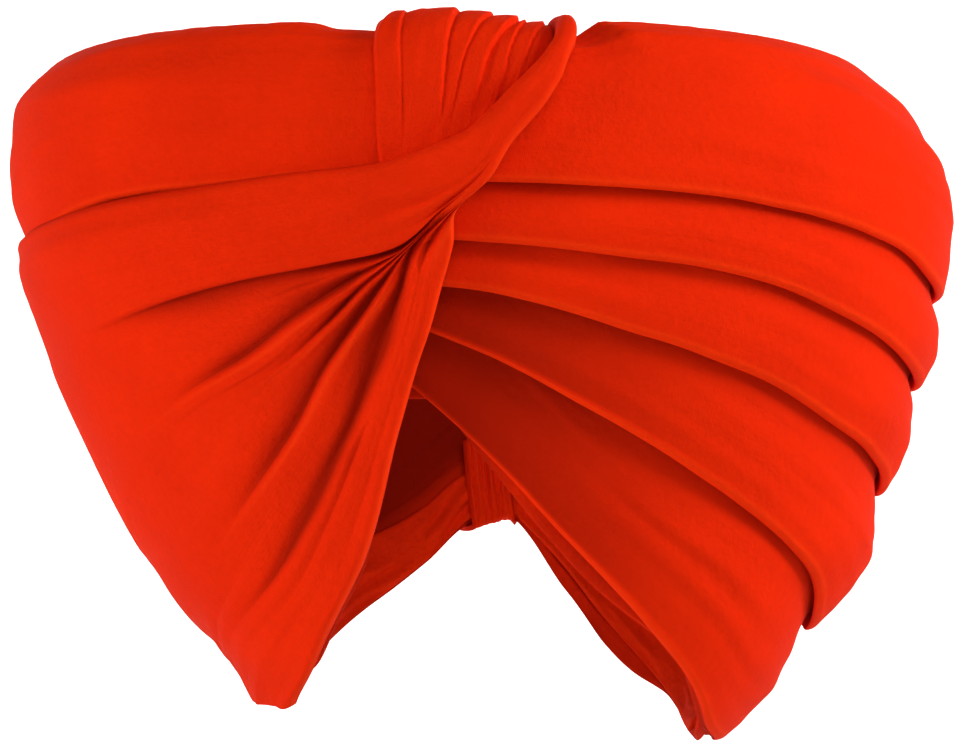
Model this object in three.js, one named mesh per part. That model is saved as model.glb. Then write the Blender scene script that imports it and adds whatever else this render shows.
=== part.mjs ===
import * as THREE from "three";

// A wound pagri turban: an inner wrap, five folded turns, a pleated tuck at the brow and at the
// nape, a gathered cloth that crosses the brow and fans over the wearer's right, and a crown cover.
// Millimetres. +Z is up, the brow faces -Y and the wearer's left ear is at +X.

// Driving sizes
const HEIGHT = 220; // ear point of the rim up to the crest of the rolled top
const HOLLOW_WIDTH = 176; // the space for the head, ear to ear
const HOLLOW_FRONT = 102; // from the middle of the head to the brow
const HOLLOW_BACK = 106; // from the middle of the head to the nape
const SIDE_BUILD = 61; // wound cloth beside the head, where it is thickest
const FRONT_BUILD = 32;
const BACK_BUILD = 36;
const LEAN = 10; // how far the sections slide to one side
const BULGE = 0.03; // share by which a section swells past an oval between its axes
const LINER = 3; // inner wrap, against the head
const LINER_PEEK = 2; // how far it shows below the lowest turn
const FOLD = 3.2; // folded lower edge of a turn
const FOLD_RAMP = 52; // height over which a turn thickens above its folded edge
const GAP = 0.35; // between cloths that follow one surface
const DRAPE_GAP = 1.2; // under a cloth laid over the turns
const CROWN_CLOTH = 2;
const CROWN_RISE = 12;
const CROWN_TUCK = 10; // how far the crown cover reaches under the rolled top
const FAN_CLOTH = 3;
const FAN_SLACK = 1.8; // how much looser the fanned cloth hangs towards its far end
const GATHER_BULK = 6; // thickness where the fanned cloth is gathered
const PLEAT = 4; // height of its deepest pleats
const PLEAT_STEEPNESS = 0.32; // greatest pleat height for its width
const TUCK_WIDTH = 60; // brow tuck, at the rolled top
const TUCK_CLOTH = 2.6;
const TUCK_HEM = 1.6;
const TUCK_RIDGE = 2.2;
const TUCK_TAPER = 0.3; // share of its breadth over which it thins out towards the gathered cloth
const TUCK_FADE = 8; // width over which the fanned cloth climbs on to the brow tuck
const NAPE_TUCK_WIDTH = 52;
const NAPE_TUCK_CLOTH = 2.4;
const NAPE_TUCK_RIDGE = 1.6;
const NAPE_TUCK_INSIDE = 28; // how far it runs up inside
const NAPE_BAND = 3.4; // thickness of the band inside the nape
const NAPE_BAND_GAP = 1.1; // between it and the inner wrap
const NAPE_BAND_HEIGHT = 23;
const NAPE_BAND_SWELL = 0.35; // share by which it is taller on its way round
const NAPE_BAND_FROM = 95; // degrees from the brow to each of its ends
const NAPE_TUCK_SEAT = NAPE_BAND_GAP + NAPE_BAND + DRAPE_GAP; // from the hollow's wall to the nape tuck
const APEX_TURN = -12; // degrees from the brow to the point of the face opening

// Sections from the rim up the wall (to the collar), over the rolled top and into the crown.
// at: place along that path, up: height, both shares of HEIGHT. width, length: shares of the
// hollow. side, front, back: shares of the builds. lean: share of LEAN.
const SECTIONS = [
  { at: 0.0, up: 0.0, width: 0.67, length: 0.63, side: 0.15, front: 0.24, back: 0.25, lean: 0.8 },
  { at: 0.114, up: 0.114, width: 0.852, length: 0.75, side: 0.17, front: 0.36, back: 0.33, lean: 1.17 },
  { at: 0.264, up: 0.264, width: 0.955, length: 0.86, side: 0.44, front: 0.385, back: 0.36, lean: 1.1 },
  { at: 0.364, up: 0.364, width: 0.983, length: 0.92, side: 0.565, front: 0.38, back: 0.45, lean: 0.82 },
  { at: 0.509, up: 0.509, width: 1.0, length: 0.98, side: 0.75, front: 0.485, back: 0.64, lean: 0.62 },
  { at: 0.655, up: 0.655, width: 1.0, length: 1.0, side: 0.9, front: 0.75, back: 0.83, lean: 0.45 },
  { at: 0.786, up: 0.786, width: 1.0, length: 1.0, side: 1.0, front: 0.97, back: 0.95, lean: 0.05 },
  { at: 0.909, up: 0.909, width: 0.966, length: 0.965, side: 0.93, front: 1.0, back: 0.97, lean: -0.6 },
  { at: 0.948, up: 0.943, width: 0.966, length: 0.965, side: 0.82, front: 0.93, back: 0.9, lean: -0.75 },
  { at: 1.01, up: 0.98, width: 0.966, length: 0.965, side: 0.625, front: 0.78, back: 0.75, lean: -0.85 },
  { at: 1.1, up: 1.0, width: 0.966, length: 0.965, side: 0.345, front: 0.45, back: 0.43, lean: -0.9 },
  { at: 1.17, up: 0.995, width: 0.962, length: 0.962, side: 0.135, front: 0.16, back: 0.16, lean: -0.85 },
  { at: 1.21, up: 0.977, width: 0.955, length: 0.955, side: 0.0, front: 0.0, back: 0.0, lean: -0.8 },
  { at: 1.245, up: 0.945, width: 0.925, length: 0.925, side: 0.0, front: 0.0, back: 0.0, lean: -0.8 },
];
const COLLAR = 0.909; // the turns under the top one end here
const ROLL = [0.948, 1.01, 1.1, 1.17, 1.21]; // sections of the rolled top, to its lip

// The rolled top is pressed down under the brow tuck and the gathered cloth. turn: degrees from
// the brow, depth: millimetres. at: place along SECTIONS, share: how much of that depth is there.
const BROW_DIP = [
  { turn: -22, depth: 0 },
  { turn: -14, depth: 3.5 },
  { turn: 3, depth: 4.5 },
  { turn: 9, depth: 7 },
  { turn: 16, depth: 9 },
  { turn: 24, depth: 6.5 },
  { turn: 33, depth: 0 },
];
const DIP_SHARE = [
  { at: 0.909, share: 0 },
  { at: 0.948, share: 0.2 },
  { at: 1.01, share: 0.75 },
  { at: 1.1, share: 1 },
  { at: 1.17, share: 0.85 },
  { at: 1.21, share: 0.5 },
  { at: 1.245, share: 0 },
];

// Height of each turn's lower folded edge, shares of HEIGHT. round: share of the way round from
// the apex of the face opening to the nape. rimRight: the lowest edge on the wearer's right.
const EDGES = [
  { round: 0, rimRight: 0.505, rim: 0.505, second: 0.594, third: 0.646, fourth: 0.709, top: 0.786 },
  { round: 0.06, rimRight: 0.3, rim: 0.39, second: 0.543, third: 0.634, fourth: 0.703, top: 0.783 },
  { round: 0.13, rimRight: 0.205, rim: 0.259, second: 0.474, third: 0.596, fourth: 0.688, top: 0.777 },
  { round: 0.22, rimRight: 0.132, rim: 0.147, second: 0.381, third: 0.541, fourth: 0.661, top: 0.76 },
  { round: 0.33, rimRight: 0.11, rim: 0.047, second: 0.267, third: 0.454, fourth: 0.593, top: 0.716 },
  { round: 0.43, rimRight: 0.102, rim: 0.012, second: 0.187, third: 0.395, fourth: 0.536, top: 0.66 },
  { round: 0.53, rimRight: 0.102, rim: 0, second: 0.16, third: 0.356, fourth: 0.506, top: 0.636 },
  { round: 0.65, rimRight: 0.115, rim: 0.012, second: 0.188, third: 0.364, fourth: 0.512, top: 0.636 },
  { round: 0.8, rimRight: 0.19, rim: 0.082, second: 0.273, third: 0.418, fourth: 0.55, top: 0.668 },
  { round: 0.88, rimRight: 0.245, rim: 0.15, second: 0.325, third: 0.452, fourth: 0.573, top: 0.69 },
  { round: 0.94, rimRight: 0.3, rim: 0.235, second: 0.37, third: 0.485, fourth: 0.597, top: 0.708 },
  { round: 1, rimRight: 0.32, rim: 0.32, second: 0.415, third: 0.515, fourth: 0.617, top: 0.722 },
];
const TURNS = ["rim", "second", "third", "fourth", "top"];

// The gathered cloth, from the crown across the brow and out over the wearer's right. Each place
// is [degrees round from the brow, place along SECTIONS]; the columns run from its upper edge over
// four of its creases to its free edge. bulk: share from FAN_CLOTH to GATHER_BULK. pleat: share of
// PLEAT. slack: share of FAN_SLACK. cuts: facets up to the next row.
const FAN = [
  band([22, 1.245], [28, 1.245], 0, 0.2, 1),
  band([19.5, 1.205], [25, 1.205], 0, 0.2, 1),
  band([17, 1.14], [21.5, 1.14], 0, 0.3, 2),
  band([12.5, 1.03], [16.5, 1.03], 0.1, 0.3, 2),
  band([9.7, 0.945], [13, 0.95], 0.3, 0.4, 2),
  band([5.8, 0.89], [8.3, 0.882], 0.6, 0.5, 1),
  band([2.4, 0.864], [4, 0.838], 0.8, 0.5, 1),
  band([-1, 0.842], [0.2, 0.803], 1, 0.6, 1),
  {
    upper: [-11, 0.806], first: [-6.5, 0.753], third: [-5.8, 0.749],
    fourth: [-5.3, 0.746], fifth: [-4.8, 0.743], edge: [-3.2, 0.74],
    bulk: 0.7, pleat: 0.8, slack: 0.2, cuts: 2,
  },
  {
    upper: [-22, 0.793], first: [-12, 0.695], third: [-10.5, 0.684],
    fourth: [-9.5, 0.682], fifth: [-8.3, 0.682], edge: [-4.6, 0.69],
    bulk: 0.4, pleat: 1, slack: 0.2, cuts: 2,
  },
  {
    upper: [-40, 0.777], first: [-28, 0.66], third: [-21, 0.614],
    fourth: [-14.8, 0.6], fifth: [-12.2, 0.59], edge: [-8.8, 0.573],
    bulk: 0, pleat: 1, slack: 0.2, cuts: 3,
  },
  {
    upper: [-67, 0.74], first: [-53, 0.596], third: [-37, 0.5],
    fourth: [-26.5, 0.455], fifth: [-20, 0.438], edge: [-15, 0.423],
    bulk: 0, pleat: 0.8, slack: 0.3, cuts: 3,
  },
  {
    upper: [-100, 0.718], first: [-85, 0.568], third: [-62, 0.364],
    fourth: [-42, 0.323], fifth: [-30, 0.305], edge: [-24.5, 0.264],
    bulk: 0, pleat: 0.45, slack: 0.6, cuts: 4,
  },
  {
    upper: [-138, 0.718], first: [-130, 0.555], third: [-105, 0.273],
    fourth: [-76, 0.19], fifth: [-54, 0.17], edge: [-40, 0.155],
    bulk: 0, pleat: 0.2, slack: 1, cuts: 5,
  },
  {
    upper: [-176, 0.736], first: [-176, 0.55], third: [-173, 0.35],
    fourth: [-128, 0.115], fifth: [-88, 0.077], edge: [-56, 0.077],
    bulk: 0, pleat: 0, slack: 1, cuts: 1,
  },
];
const CREASES = { upper: 0, first: 1, third: 3, fourth: 4, fifth: 5, edge: 6 }; // pleats across the cloth
const PLEAT_COLUMNS = [
  0, 0.33, 0.67, 1, 1.5, 2, 2.5, 3, 3.25, 3.5, 3.75, 4, 4.33, 4.67, 5, 5.33, 5.67, 6,
];

// The brow tuck from its hem up and over the rolled top. left, right: from the middle line, shares
// of TUCK_WIDTH. leftAt, rightAt: places along SECTIONS. bulk: share of the ridges and thickness.
const BROW_TUCK = [
  { left: -0.47, leftAt: 0.785, right: 0.24, rightAt: 0.893, bulk: 0 },
  { left: -0.48, leftAt: 0.81, right: 0.26, rightAt: 0.908, bulk: 0.15 },
  { left: -0.49, leftAt: 0.85, right: 0.29, rightAt: 0.93, bulk: 0.75 },
  { left: -0.49, leftAt: 0.91, right: 0.31, rightAt: 0.955, bulk: 1 },
  { left: -0.49, leftAt: 0.965, right: 0.32, rightAt: 0.99, bulk: 1 },
  { left: -0.49, leftAt: 1.03, right: 0.33, rightAt: 1.04, bulk: 1 },
  { left: -0.5, leftAt: 1.1, right: 0.34, rightAt: 1.1, bulk: 1 },
  { left: -0.52, leftAt: 1.17, right: 0.34, rightAt: 1.17, bulk: 0.8 },
  { left: -0.54, leftAt: 1.21, right: 0.33, rightAt: 1.21, bulk: 0.55 },
  { left: -0.55, leftAt: 1.245, right: 0.33, rightAt: 1.245, bulk: 0.3 },
];
const BROW_PLEATS = [0, 0.16, 0.43, 0.65, 0.8, 1]; // where its pleats meet, shares of its breadth

// The nape tuck from the crown down the back to the rim. half: half breadth, share of
// NAPE_TUCK_WIDTH.
const NAPE_TUCK = [
  { at: 0.345, half: 0.23 },
  { at: 0.39, half: 0.25 },
  { at: 0.46, half: 0.29 },
  { at: 0.58, half: 0.34 },
  { at: 0.7, half: 0.39 },
  { at: 0.76, half: 0.42 },
  { at: 0.83, half: 0.44 },
  { at: 0.909, half: 0.46 },
  { at: 0.96, half: 0.48 },
  { at: 1.03, half: 0.49 },
  { at: 1.1, half: 0.5 },
  { at: 1.17, half: 0.5 },
  { at: 1.21, half: 0.5 },
  { at: 1.245, half: 0.5 },
];
const NAPE_PLEATS = 4;

function band(upper, edge, bulk, pleat, cuts) {
  const across = (share) => [0, 1].map((axis) => THREE.MathUtils.lerp(upper[axis], edge[axis], share));
  const creases = { first: across(0.3), third: across(0.5), fourth: across(0.62), fifth: across(0.74) };
  return { upper, ...creases, edge, bulk, pleat, slack: 0.2, cuts };
}

// Smooth curve through [place, value] pairs in rising order of place, held at both ends
function curve(pairs, place) {
  const last = pairs.length - 1;
  const at = THREE.MathUtils.clamp(place, pairs[0][0], pairs[last][0]);
  const start = pairs.slice(1, last).filter((pair) => pair[0] <= at).length;
  const slope = (index) => {
    const low = pairs[Math.max(index - 1, 0)];
    const high = pairs[Math.min(index + 1, last)];
    return (high[1] - low[1]) / (high[0] - low[0]);
  };
  const [[x0, y0], [x1, y1]] = pairs.slice(start, start + 2);
  const t = (at - x0) / (x1 - x0);
  const bend = (x1 - x0) * t * (1 - t);
  const ease = t * t * (3 - 2 * t);
  return y0 + (y1 - y0) * ease + bend * ((1 - t) * slope(start) - t * slope(start + 1));
}

const pairsOf = (rows, by, key) => rows.map((row) => [row[by], row[key]]);
const SECTION_CURVES = Object.fromEntries(
  Object.keys(SECTIONS[0]).map((key) => [key, pairsOf(SECTIONS, "at", key)]),
);
const section = (key, at) => curve(SECTION_CURVES[key], at);
const DIP_CURVES = [pairsOf(BROW_DIP, "turn", "depth"), pairsOf(DIP_SHARE, "at", "share")];

function oval(turn, at, build) {
  const across = Math.sin(turn);
  const along = Math.cos(turn);
  const swell = 1 + BULGE * Math.sin(2 * turn) ** 2;
  const width = (HOLLOW_WIDTH / 2) * section("width", at) + build * SIDE_BUILD * section("side", at);
  const front = HOLLOW_FRONT * section("length", at) + build * FRONT_BUILD * section("front", at);
  const back = HOLLOW_BACK * section("length", at) + build * BACK_BUILD * section("back", at);
  const reach = along > 0 ? front : back;
  const dip = curve(DIP_CURVES[0], THREE.MathUtils.radToDeg(turn)) * curve(DIP_CURVES[1], at);
  return new THREE.Vector3(
    LEAN * section("lean", at) + width * across * swell,
    -reach * along * swell,
    HEIGHT * section("up", at) - dip,
  );
}

// The outside of the wound turns, and the inside of the inner wrap
const outside = (turn, at) => oval(turn, at, 1);
const hollow = (turn, at) => oval(turn, at, 0);

// A point lifted off the outside along its normal
function lifted(turn, at, lift) {
  const nudge = 1e-3;
  const round = outside(turn + nudge, at).sub(outside(turn - nudge, at));
  const up = outside(turn, at + nudge).sub(outside(turn, at - nudge));
  return outside(turn, at).addScaledVector(round.cross(up).normalize(), lift);
}

// A point inside the hollow, off its wall
function inset(turn, at, depth) {
  const inwards = hollow(turn, at).sub(outside(turn, at)).normalize();
  return hollow(turn, at).addScaledVector(inwards, depth);
}

// Closed solid between two grids of points, outer and inner, in rows upwards and columns that run
// round from the wearer's right over the brow; a closed ring joins its last column to its first
function between(outer, inner, isRing) {
  const rows = outer.length;
  const columns = outer[0].length;
  const points = [...outer.flat(), ...inner.flat()];
  const skin = rows * columns;
  const index = [];
  const quad = (a, b, c, d) => index.push(a, b, c, a, c, d);
  const steps = isRing ? columns : columns - 1;
  for (let row = 0; row < rows - 1; row++) {
    for (let step = 0; step < steps; step++) {
      const a = row * columns + step;
      const b = row * columns + ((step + 1) % columns);
      quad(a, b, b + columns, a + columns);
      quad(skin + b + columns, skin + b, skin + a, skin + a + columns);
    }
  }
  const top = (rows - 1) * columns;
  for (let step = 0; step < steps; step++) {
    const next = (step + 1) % columns;
    quad(skin + step, skin + next, next, step);
    quad(top + step, top + next, skin + top + next, skin + top + step);
  }
  if (!isRing) {
    for (let row = 0; row < rows - 1; row++) {
      const a = row * columns;
      const b = a + columns - 1;
      quad(a, a + columns, skin + a + columns, skin + a);
      quad(b, skin + b, skin + b + columns, b + columns);
    }
  }
  const geometry = new THREE.BufferGeometry();
  geometry.setAttribute("position", new THREE.Float32BufferAttribute(points.flatMap((p) => p.toArray()), 3));
  geometry.setIndex(index);
  geometry.computeVertexNormals();
  return geometry;
}

const grid = (rows, columns, place) => rows.map((row) => columns.map((column) => place(row, column)));
const steps = (count) => Array.from({ length: count + 1 }, (_, index) => index / count);

// Columns of the turns: closer together at the apex of the face opening and at the nape
const ROUND_STEPS = [
  0, 0.03, 0.065, 0.105, 0.145, 0.185, 0.23, 0.285, 0.345, 0.41, 0.47, 0.53, 0.6, 0.67, 0.745, 0.82, 0.885,
  0.945, 1,
];

function columnAt(round, side) {
  const turn = APEX_TURN + round * (side > 0 ? 180 - APEX_TURN : -180 - APEX_TURN);
  const edges = TURNS.map((name) => {
    const key = name === "rim" && side < 0 ? "rimRight" : name;
    return curve(pairsOf(EDGES, "round", key), round);
  });
  return { turn: THREE.MathUtils.degToRad(turn), edges };
}

// Height of the lowest turn's edge, share of HEIGHT
function rimAt(turn) {
  const degrees = THREE.MathUtils.radToDeg(turn);
  const side = degrees > APEX_TURN ? 1 : -1;
  const round = (degrees - APEX_TURN) / (side > 0 ? 180 - APEX_TURN : -180 - APEX_TURN);
  return columnAt(round, side).edges[0];
}

const COLUMNS = [
  ...ROUND_STEPS.slice(1).reverse().map((round) => columnAt(round, -1)),
  ...ROUND_STEPS.slice(0, -1).map((round) => columnAt(round, 1)),
];

// Levels of a column: each folded edge, half way to the next, and the collar
function levelsOf(column) {
  const marks = [...column.edges, COLLAR];
  return marks.flatMap((mark, index) => (index ? [(marks[index - 1] + mark) / 2, mark] : [mark]));
}
const LEVELS = 2 * TURNS.length + 1;

// Depth below the outside of each turn's two faces at one level. Every turn above swells over the
// one below as it nears its folded edge, and they share what is left of the wall.
function layersAt(column, at) {
  const wall = outside(column.turn, at).distanceTo(hollow(column.turn, at));
  const swell = column.edges.map((edge, turn) => {
    if (turn === 0) return 0;
    const below = column.edges[turn - 1];
    return THREE.MathUtils.clamp((at - below) / (edge - below), 0, 1);
  });
  const weight = column.edges.map((edge, turn) =>
    turn === 0 ? 1 : THREE.MathUtils.smoothstep((at - edge) * HEIGHT, 0, FOLD_RAMP),
  );
  const sum = (list) => list.reduce((total, value) => total + value, 0);
  const spare = wall - LINER - GAP - (FOLD + GAP) * sum(swell);
  const thickness = weight.map((share, turn) => FOLD * swell[turn] + (spare * share) / sum(weight));
  const layers = [];
  let depth = 0;
  for (let turn = TURNS.length - 1; turn >= 0; turn--) {
    layers[turn] = { outer: depth, inner: depth + thickness[turn] };
    depth += thickness[turn] + GAP * swell[turn];
  }
  return { wall, layers };
}

function faceOf(turn, side) {
  return (level, column) => {
    const at = levelsOf(column)[level];
    const { wall, layers } = layersAt(column, at);
    return outside(column.turn, at).lerp(hollow(column.turn, at), layers[turn][side] / wall);
  };
}

const levelsFrom = (first) => Array.from({ length: LEVELS - first }, (_, index) => first + index);

function lowerTurn(turn) {
  const levels = levelsFrom(2 * turn);
  const [outer, inner] = ["outer", "inner"].map((side) => grid(levels, COLUMNS, faceOf(turn, side)));
  return between(outer, inner, true);
}

// The top turn goes on over the rolled top; its underside is flat above the crown cover's edge
function topTurn() {
  const turn = TURNS.length - 1;
  const levels = levelsFrom(2 * turn);
  const ledge = HEIGHT * section("up", COLLAR) + CROWN_CLOTH + 2 * GAP;
  const lip = ROLL[ROLL.length - 1];
  const rolled = grid(ROLL, COLUMNS, (at, column) => outside(column.turn, at));
  const inner = faceOf(turn, "inner");
  const under = grid(steps(ROLL.length - 1), COLUMNS, (share, column) =>
    inner(LEVELS - 1, column).lerp(outside(column.turn, lip), share).setZ(ledge),
  );
  return between(
    [...grid(levels, COLUMNS, faceOf(turn, "outer")), ...rolled],
    [...grid(levels, COLUMNS, inner), ...under],
    true,
  );
}

function innerWrap() {
  const levels = levelsFrom(0);
  const place = (build) => (level, column) => {
    const at = levelsOf(column)[level] - (level === 0 ? LINER_PEEK / HEIGHT : 0);
    const wall = outside(column.turn, at).distanceTo(hollow(column.turn, at));
    return hollow(column.turn, at).lerp(outside(column.turn, at), build / wall);
  };
  return between(grid(levels, COLUMNS, place(LINER)), grid(levels, COLUMNS, place(0)), true);
}

const CROWN_SHARES = [0, 0.25, 0.45, 0.65, 0.82, 1]; // rings from the middle, to its flat edge
const CROWN_SEGMENTS = 28;

// Dome over the head, with a flat edge that reaches under the rolled top
function crownCover() {
  const domeShare = CROWN_SHARES[CROWN_SHARES.length - 2];
  const seat = HEIGHT * section("up", COLLAR) + GAP;
  const height = (share) =>
    seat + (CROWN_RISE * (1 + Math.cos(Math.PI * Math.min(share / domeShare, 1)))) / 2;
  const under = CROWN_SHARES.map((share) => new THREE.Vector2(share, height(share)));
  const over = CROWN_SHARES.map((share) => new THREE.Vector2(share, height(share) + CROWN_CLOTH));
  const geometry = new THREE.LatheGeometry([...under, ...over.reverse()], CROWN_SEGMENTS);
  const width = (HOLLOW_WIDTH / 2) * section("width", COLLAR) + CROWN_TUCK;
  const length = ((HOLLOW_FRONT + HOLLOW_BACK) / 2) * section("length", COLLAR) + CROWN_TUCK;
  const middle = ((HOLLOW_BACK - HOLLOW_FRONT) / 2) * section("length", COLLAR);
  geometry.rotateX(Math.PI / 2);
  geometry.scale(width, length, 1);
  geometry.translate(LEAN * section("lean", COLLAR), middle, 0);
  return geometry;
}

// Degrees of turn, as radians, at a distance from the middle line on one section
function turnAcross(x, at) {
  const width = (HOLLOW_WIDTH / 2) * section("width", at) + SIDE_BUILD * section("side", at);
  return Math.asin(THREE.MathUtils.clamp((x - LEAN * section("lean", at)) / width, -1, 1));
}

const BROW_CURVES = Object.fromEntries(
  Object.keys(BROW_TUCK[0]).map((key) => [key, BROW_TUCK.map((row, index) => [index, row[key]])]),
);

function browPlace(row, share) {
  const value = (key) => curve(BROW_CURVES[key], row);
  const at = THREE.MathUtils.lerp(value("leftAt"), value("rightAt"), share);
  const x = TUCK_WIDTH * THREE.MathUtils.lerp(value("left"), value("right"), share);
  return { turn: turnAcross(x, at), at };
}

// The brow tuck thins out towards its hem, its ends and its edge under the fanned cloth
function browBulk(row, share) {
  return curve(BROW_CURVES.bulk, row) * THREE.MathUtils.smoothstep(1 - share, 0, TUCK_TAPER);
}

// Height of the brow tuck's outer face above the outside
function browLift(row, share) {
  const next = BROW_PLEATS.findIndex((place) => place >= share && place > 0);
  const [low, high] = [BROW_PLEATS[next - 1], BROW_PLEATS[next]];
  const ridge = Math.sin((Math.PI * (share - low)) / (high - low)) ** 2;
  return DRAPE_GAP + TUCK_HEM + browBulk(row, share) * (TUCK_CLOTH - TUCK_HEM + TUCK_RIDGE * ridge);
}

function browTuck() {
  const shares = BROW_PLEATS.flatMap((place, index) =>
    index ? [(BROW_PLEATS[index - 1] + place) / 2, place] : [place],
  );
  const rows = BROW_TUCK.map((_, index) => index);
  const place = (lift) => (row, share) => {
    const { turn, at } = browPlace(row, share);
    return lifted(turn, at, lift(row, share));
  };
  return between(
    grid(rows, shares, place(browLift)),
    grid(rows, shares, place(() => DRAPE_GAP)),
    false,
  );
}

// How far inside the brow tuck's outline a place lies, in millimetres; negative when outside it
function insideBrowTuck(x, at) {
  const [hem] = BROW_TUCK;
  const across = THREE.MathUtils.clamp((x / TUCK_WIDTH - hem.left) / (hem.right - hem.left), 0, 1);
  const aboveHem = (at - THREE.MathUtils.lerp(hem.leftAt, hem.rightAt, across)) * HEIGHT;
  const right = curve(pairsOf(BROW_TUCK, "rightAt", "right"), at) * TUCK_WIDTH;
  const left = curve(pairsOf(BROW_TUCK, "leftAt", "left"), at) * TUCK_WIDTH;
  return Math.min(aboveHem, right - x, x - left);
}

// Clearance of the fanned cloth: it climbs over the hem and the edge of the brow tuck
function fanClearance(turn, at) {
  const x = outside(turn, at).x;
  const faces = Math.cos(turn) > 0 ? 1 : 0;
  const cover = THREE.MathUtils.smoothstep(insideBrowTuck(x, at), -TUCK_FADE, 0) * faces;
  const depth = THREE.MathUtils.smoothstep(insideBrowTuck(x, at), 0, TUCK_FADE) * faces;
  return DRAPE_GAP + cover * (DRAPE_GAP + TUCK_HEM) + depth * (TUCK_CLOTH + TUCK_RIDGE);
}

const FAN_CURVES = Object.fromEntries(
  Object.keys(CREASES).map((key) => [
    key,
    [0, 1].map((axis) => FAN.map((row, station) => [station, row[key][axis]])),
  ]),
);

function fanPlace(station, pleat) {
  const across = (axis) =>
    Object.entries(CREASES).map(([key, place]) => [place, curve(FAN_CURVES[key][axis], station)]);
  return { turn: THREE.MathUtils.degToRad(curve(across(0), pleat)), at: curve(across(1), pleat) };
}

const fanShare = (key, station) => curve(FAN.map((row, index) => [index, row[key]]), station);

function fanPleat(station, pleat) {
  const first = Math.min(Math.floor(pleat), CREASES.edge - 1);
  const [low, high] = [first, first + 1].map((crease) => {
    const { turn, at } = fanPlace(station, crease);
    return outside(turn, at);
  });
  const height = Math.min(PLEAT * fanShare("pleat", station), PLEAT_STEEPNESS * low.distanceTo(high));
  return height * Math.sin(Math.PI * (pleat - first)) ** 2;
}

function fanWrap() {
  const stations = FAN.flatMap(({ cuts }, row) =>
    row === FAN.length - 1 ? [row] : steps(cuts).slice(0, -1).map((share) => row + share),
  );
  const pleats = [...PLEAT_COLUMNS].reverse();
  const place = (thickness) => (station, pleat) => {
    const { turn, at } = fanPlace(station, pleat);
    const clearance = fanClearance(turn, at) + FAN_SLACK * fanShare("slack", station);
    return lifted(turn, at, clearance + thickness(station, pleat));
  };
  const cloth = (station, pleat) =>
    THREE.MathUtils.lerp(FAN_CLOTH, GATHER_BULK, fanShare("bulk", station)) + fanPleat(station, pleat);
  return between(grid(stations, pleats, place(cloth)), grid(stations, pleats, place(() => 0)), false);
}

// Clearance of the nape tuck, which climbs over the far end of the fanned cloth
function napeClearance(turn, at) {
  const end = FAN[FAN.length - 1];
  const away = THREE.MathUtils.radToDeg(turn > 0 ? Math.PI - turn : -Math.PI - turn);
  const beside = 1 - THREE.MathUtils.smoothstep(away, 0, 180 + end.upper[0] + 4);
  const above = (at - end.upper[1]) * HEIGHT;
  const below = (end.third[1] - at) * HEIGHT;
  const clear = THREE.MathUtils.smoothstep(Math.max(above, below), TUCK_FADE, 2 * TUCK_FADE);
  return DRAPE_GAP + (DRAPE_GAP + FAN_CLOTH + FAN_SLACK) * beside * (1 - clear);
}

// Pleated strip that comes out of the crown, runs down the back, turns under the rim and ends inside
function napeTuck() {
  const shares = steps(2 * NAPE_PLEATS);
  const thickness = (share) =>
    NAPE_TUCK_CLOTH + NAPE_TUCK_RIDGE * Math.sin(Math.PI * NAPE_PLEATS * share) ** 2;
  const turnOf = (at, share) => {
    const half = NAPE_TUCK_WIDTH * curve(pairsOf(NAPE_TUCK, "at", "half"), at);
    const across = turnAcross((1 - 2 * share) * half, at);
    return across > 0 ? Math.PI - across : -Math.PI - across;
  };
  const foot = (share) => rimAt(turnOf(NAPE_TUCK[0].at, share));
  const below = (share) => HEIGHT * foot(share) - LINER_PEEK - DRAPE_GAP;
  const behind = (at, share, lift) => {
    const turn = turnOf(at, share);
    return lifted(turn, at, napeClearance(turn, at) + lift);
  };
  const within = (at, share, lift) => inset(turnOf(NAPE_TUCK[0].at, share), at, NAPE_TUCK_SEAT + lift);
  const face = (lift) => [
    ...grid([1, 0.5, 0.15], shares, (up, share) =>
      within(foot(share) + (up * NAPE_TUCK_INSIDE) / HEIGHT, share, lift(share)),
    ),
    shares.map((share) => within(foot(share), share, lift(share)).setZ(below(share) - lift(share))),
    shares.map((share) => behind(foot(share), share, lift(share)).setZ(below(share) - lift(share))),
    ...grid(NAPE_TUCK.map((row) => row.at), shares, (at, share) => behind(at, share, lift(share))),
  ];
  return between(face(thickness), face(() => 0), false);
}

// The inner wrap's own flat facets at a height between its levels
function facetInside(column, at, depth) {
  const levels = levelsOf(column);
  const above = Math.max(levels.findIndex((level) => level > at), 1);
  const [low, high] = [levels[above - 1], levels[above]];
  return inset(column.turn, low, depth).lerp(inset(column.turn, high, depth), (at - low) / (high - low));
}

// Band laid inside the nape, above the rim
function napeBand() {
  const first = (Math.PI * NAPE_BAND_FROM) / 180;
  const columns = [
    ...COLUMNS.filter((column) => column.turn >= first),
    ...COLUMNS.filter((column) => column.turn <= -first),
  ];
  const rows = steps(3);
  const place = (depth) => (share, column) => {
    const fromNape = (Math.PI - Math.abs(column.turn)) / (Math.PI - first);
    const height = NAPE_BAND_HEIGHT * (1 + NAPE_BAND_SWELL * Math.sin(Math.PI * fromNape));
    return facetInside(column, column.edges[0] + (LINER_PEEK + share * height) / HEIGHT, depth);
  };
  return between(
    grid(rows, columns, place(NAPE_BAND_GAP)),
    grid(rows, columns, place(NAPE_BAND_GAP + NAPE_BAND)),
    false,
  );
}

const material = (colour, roughness) =>
  new THREE.MeshStandardMaterial({ color: colour, roughness, metalness: 0, flatShading: false });
const CLOTH = material(0xec3008, 0.72);
const SHADED_CLOTH = material(0xc92704, 0.76);

function piece(name, geometry, cloth) {
  const mesh = new THREE.Mesh(geometry, cloth);
  mesh.name = name;
  return mesh;
}

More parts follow.
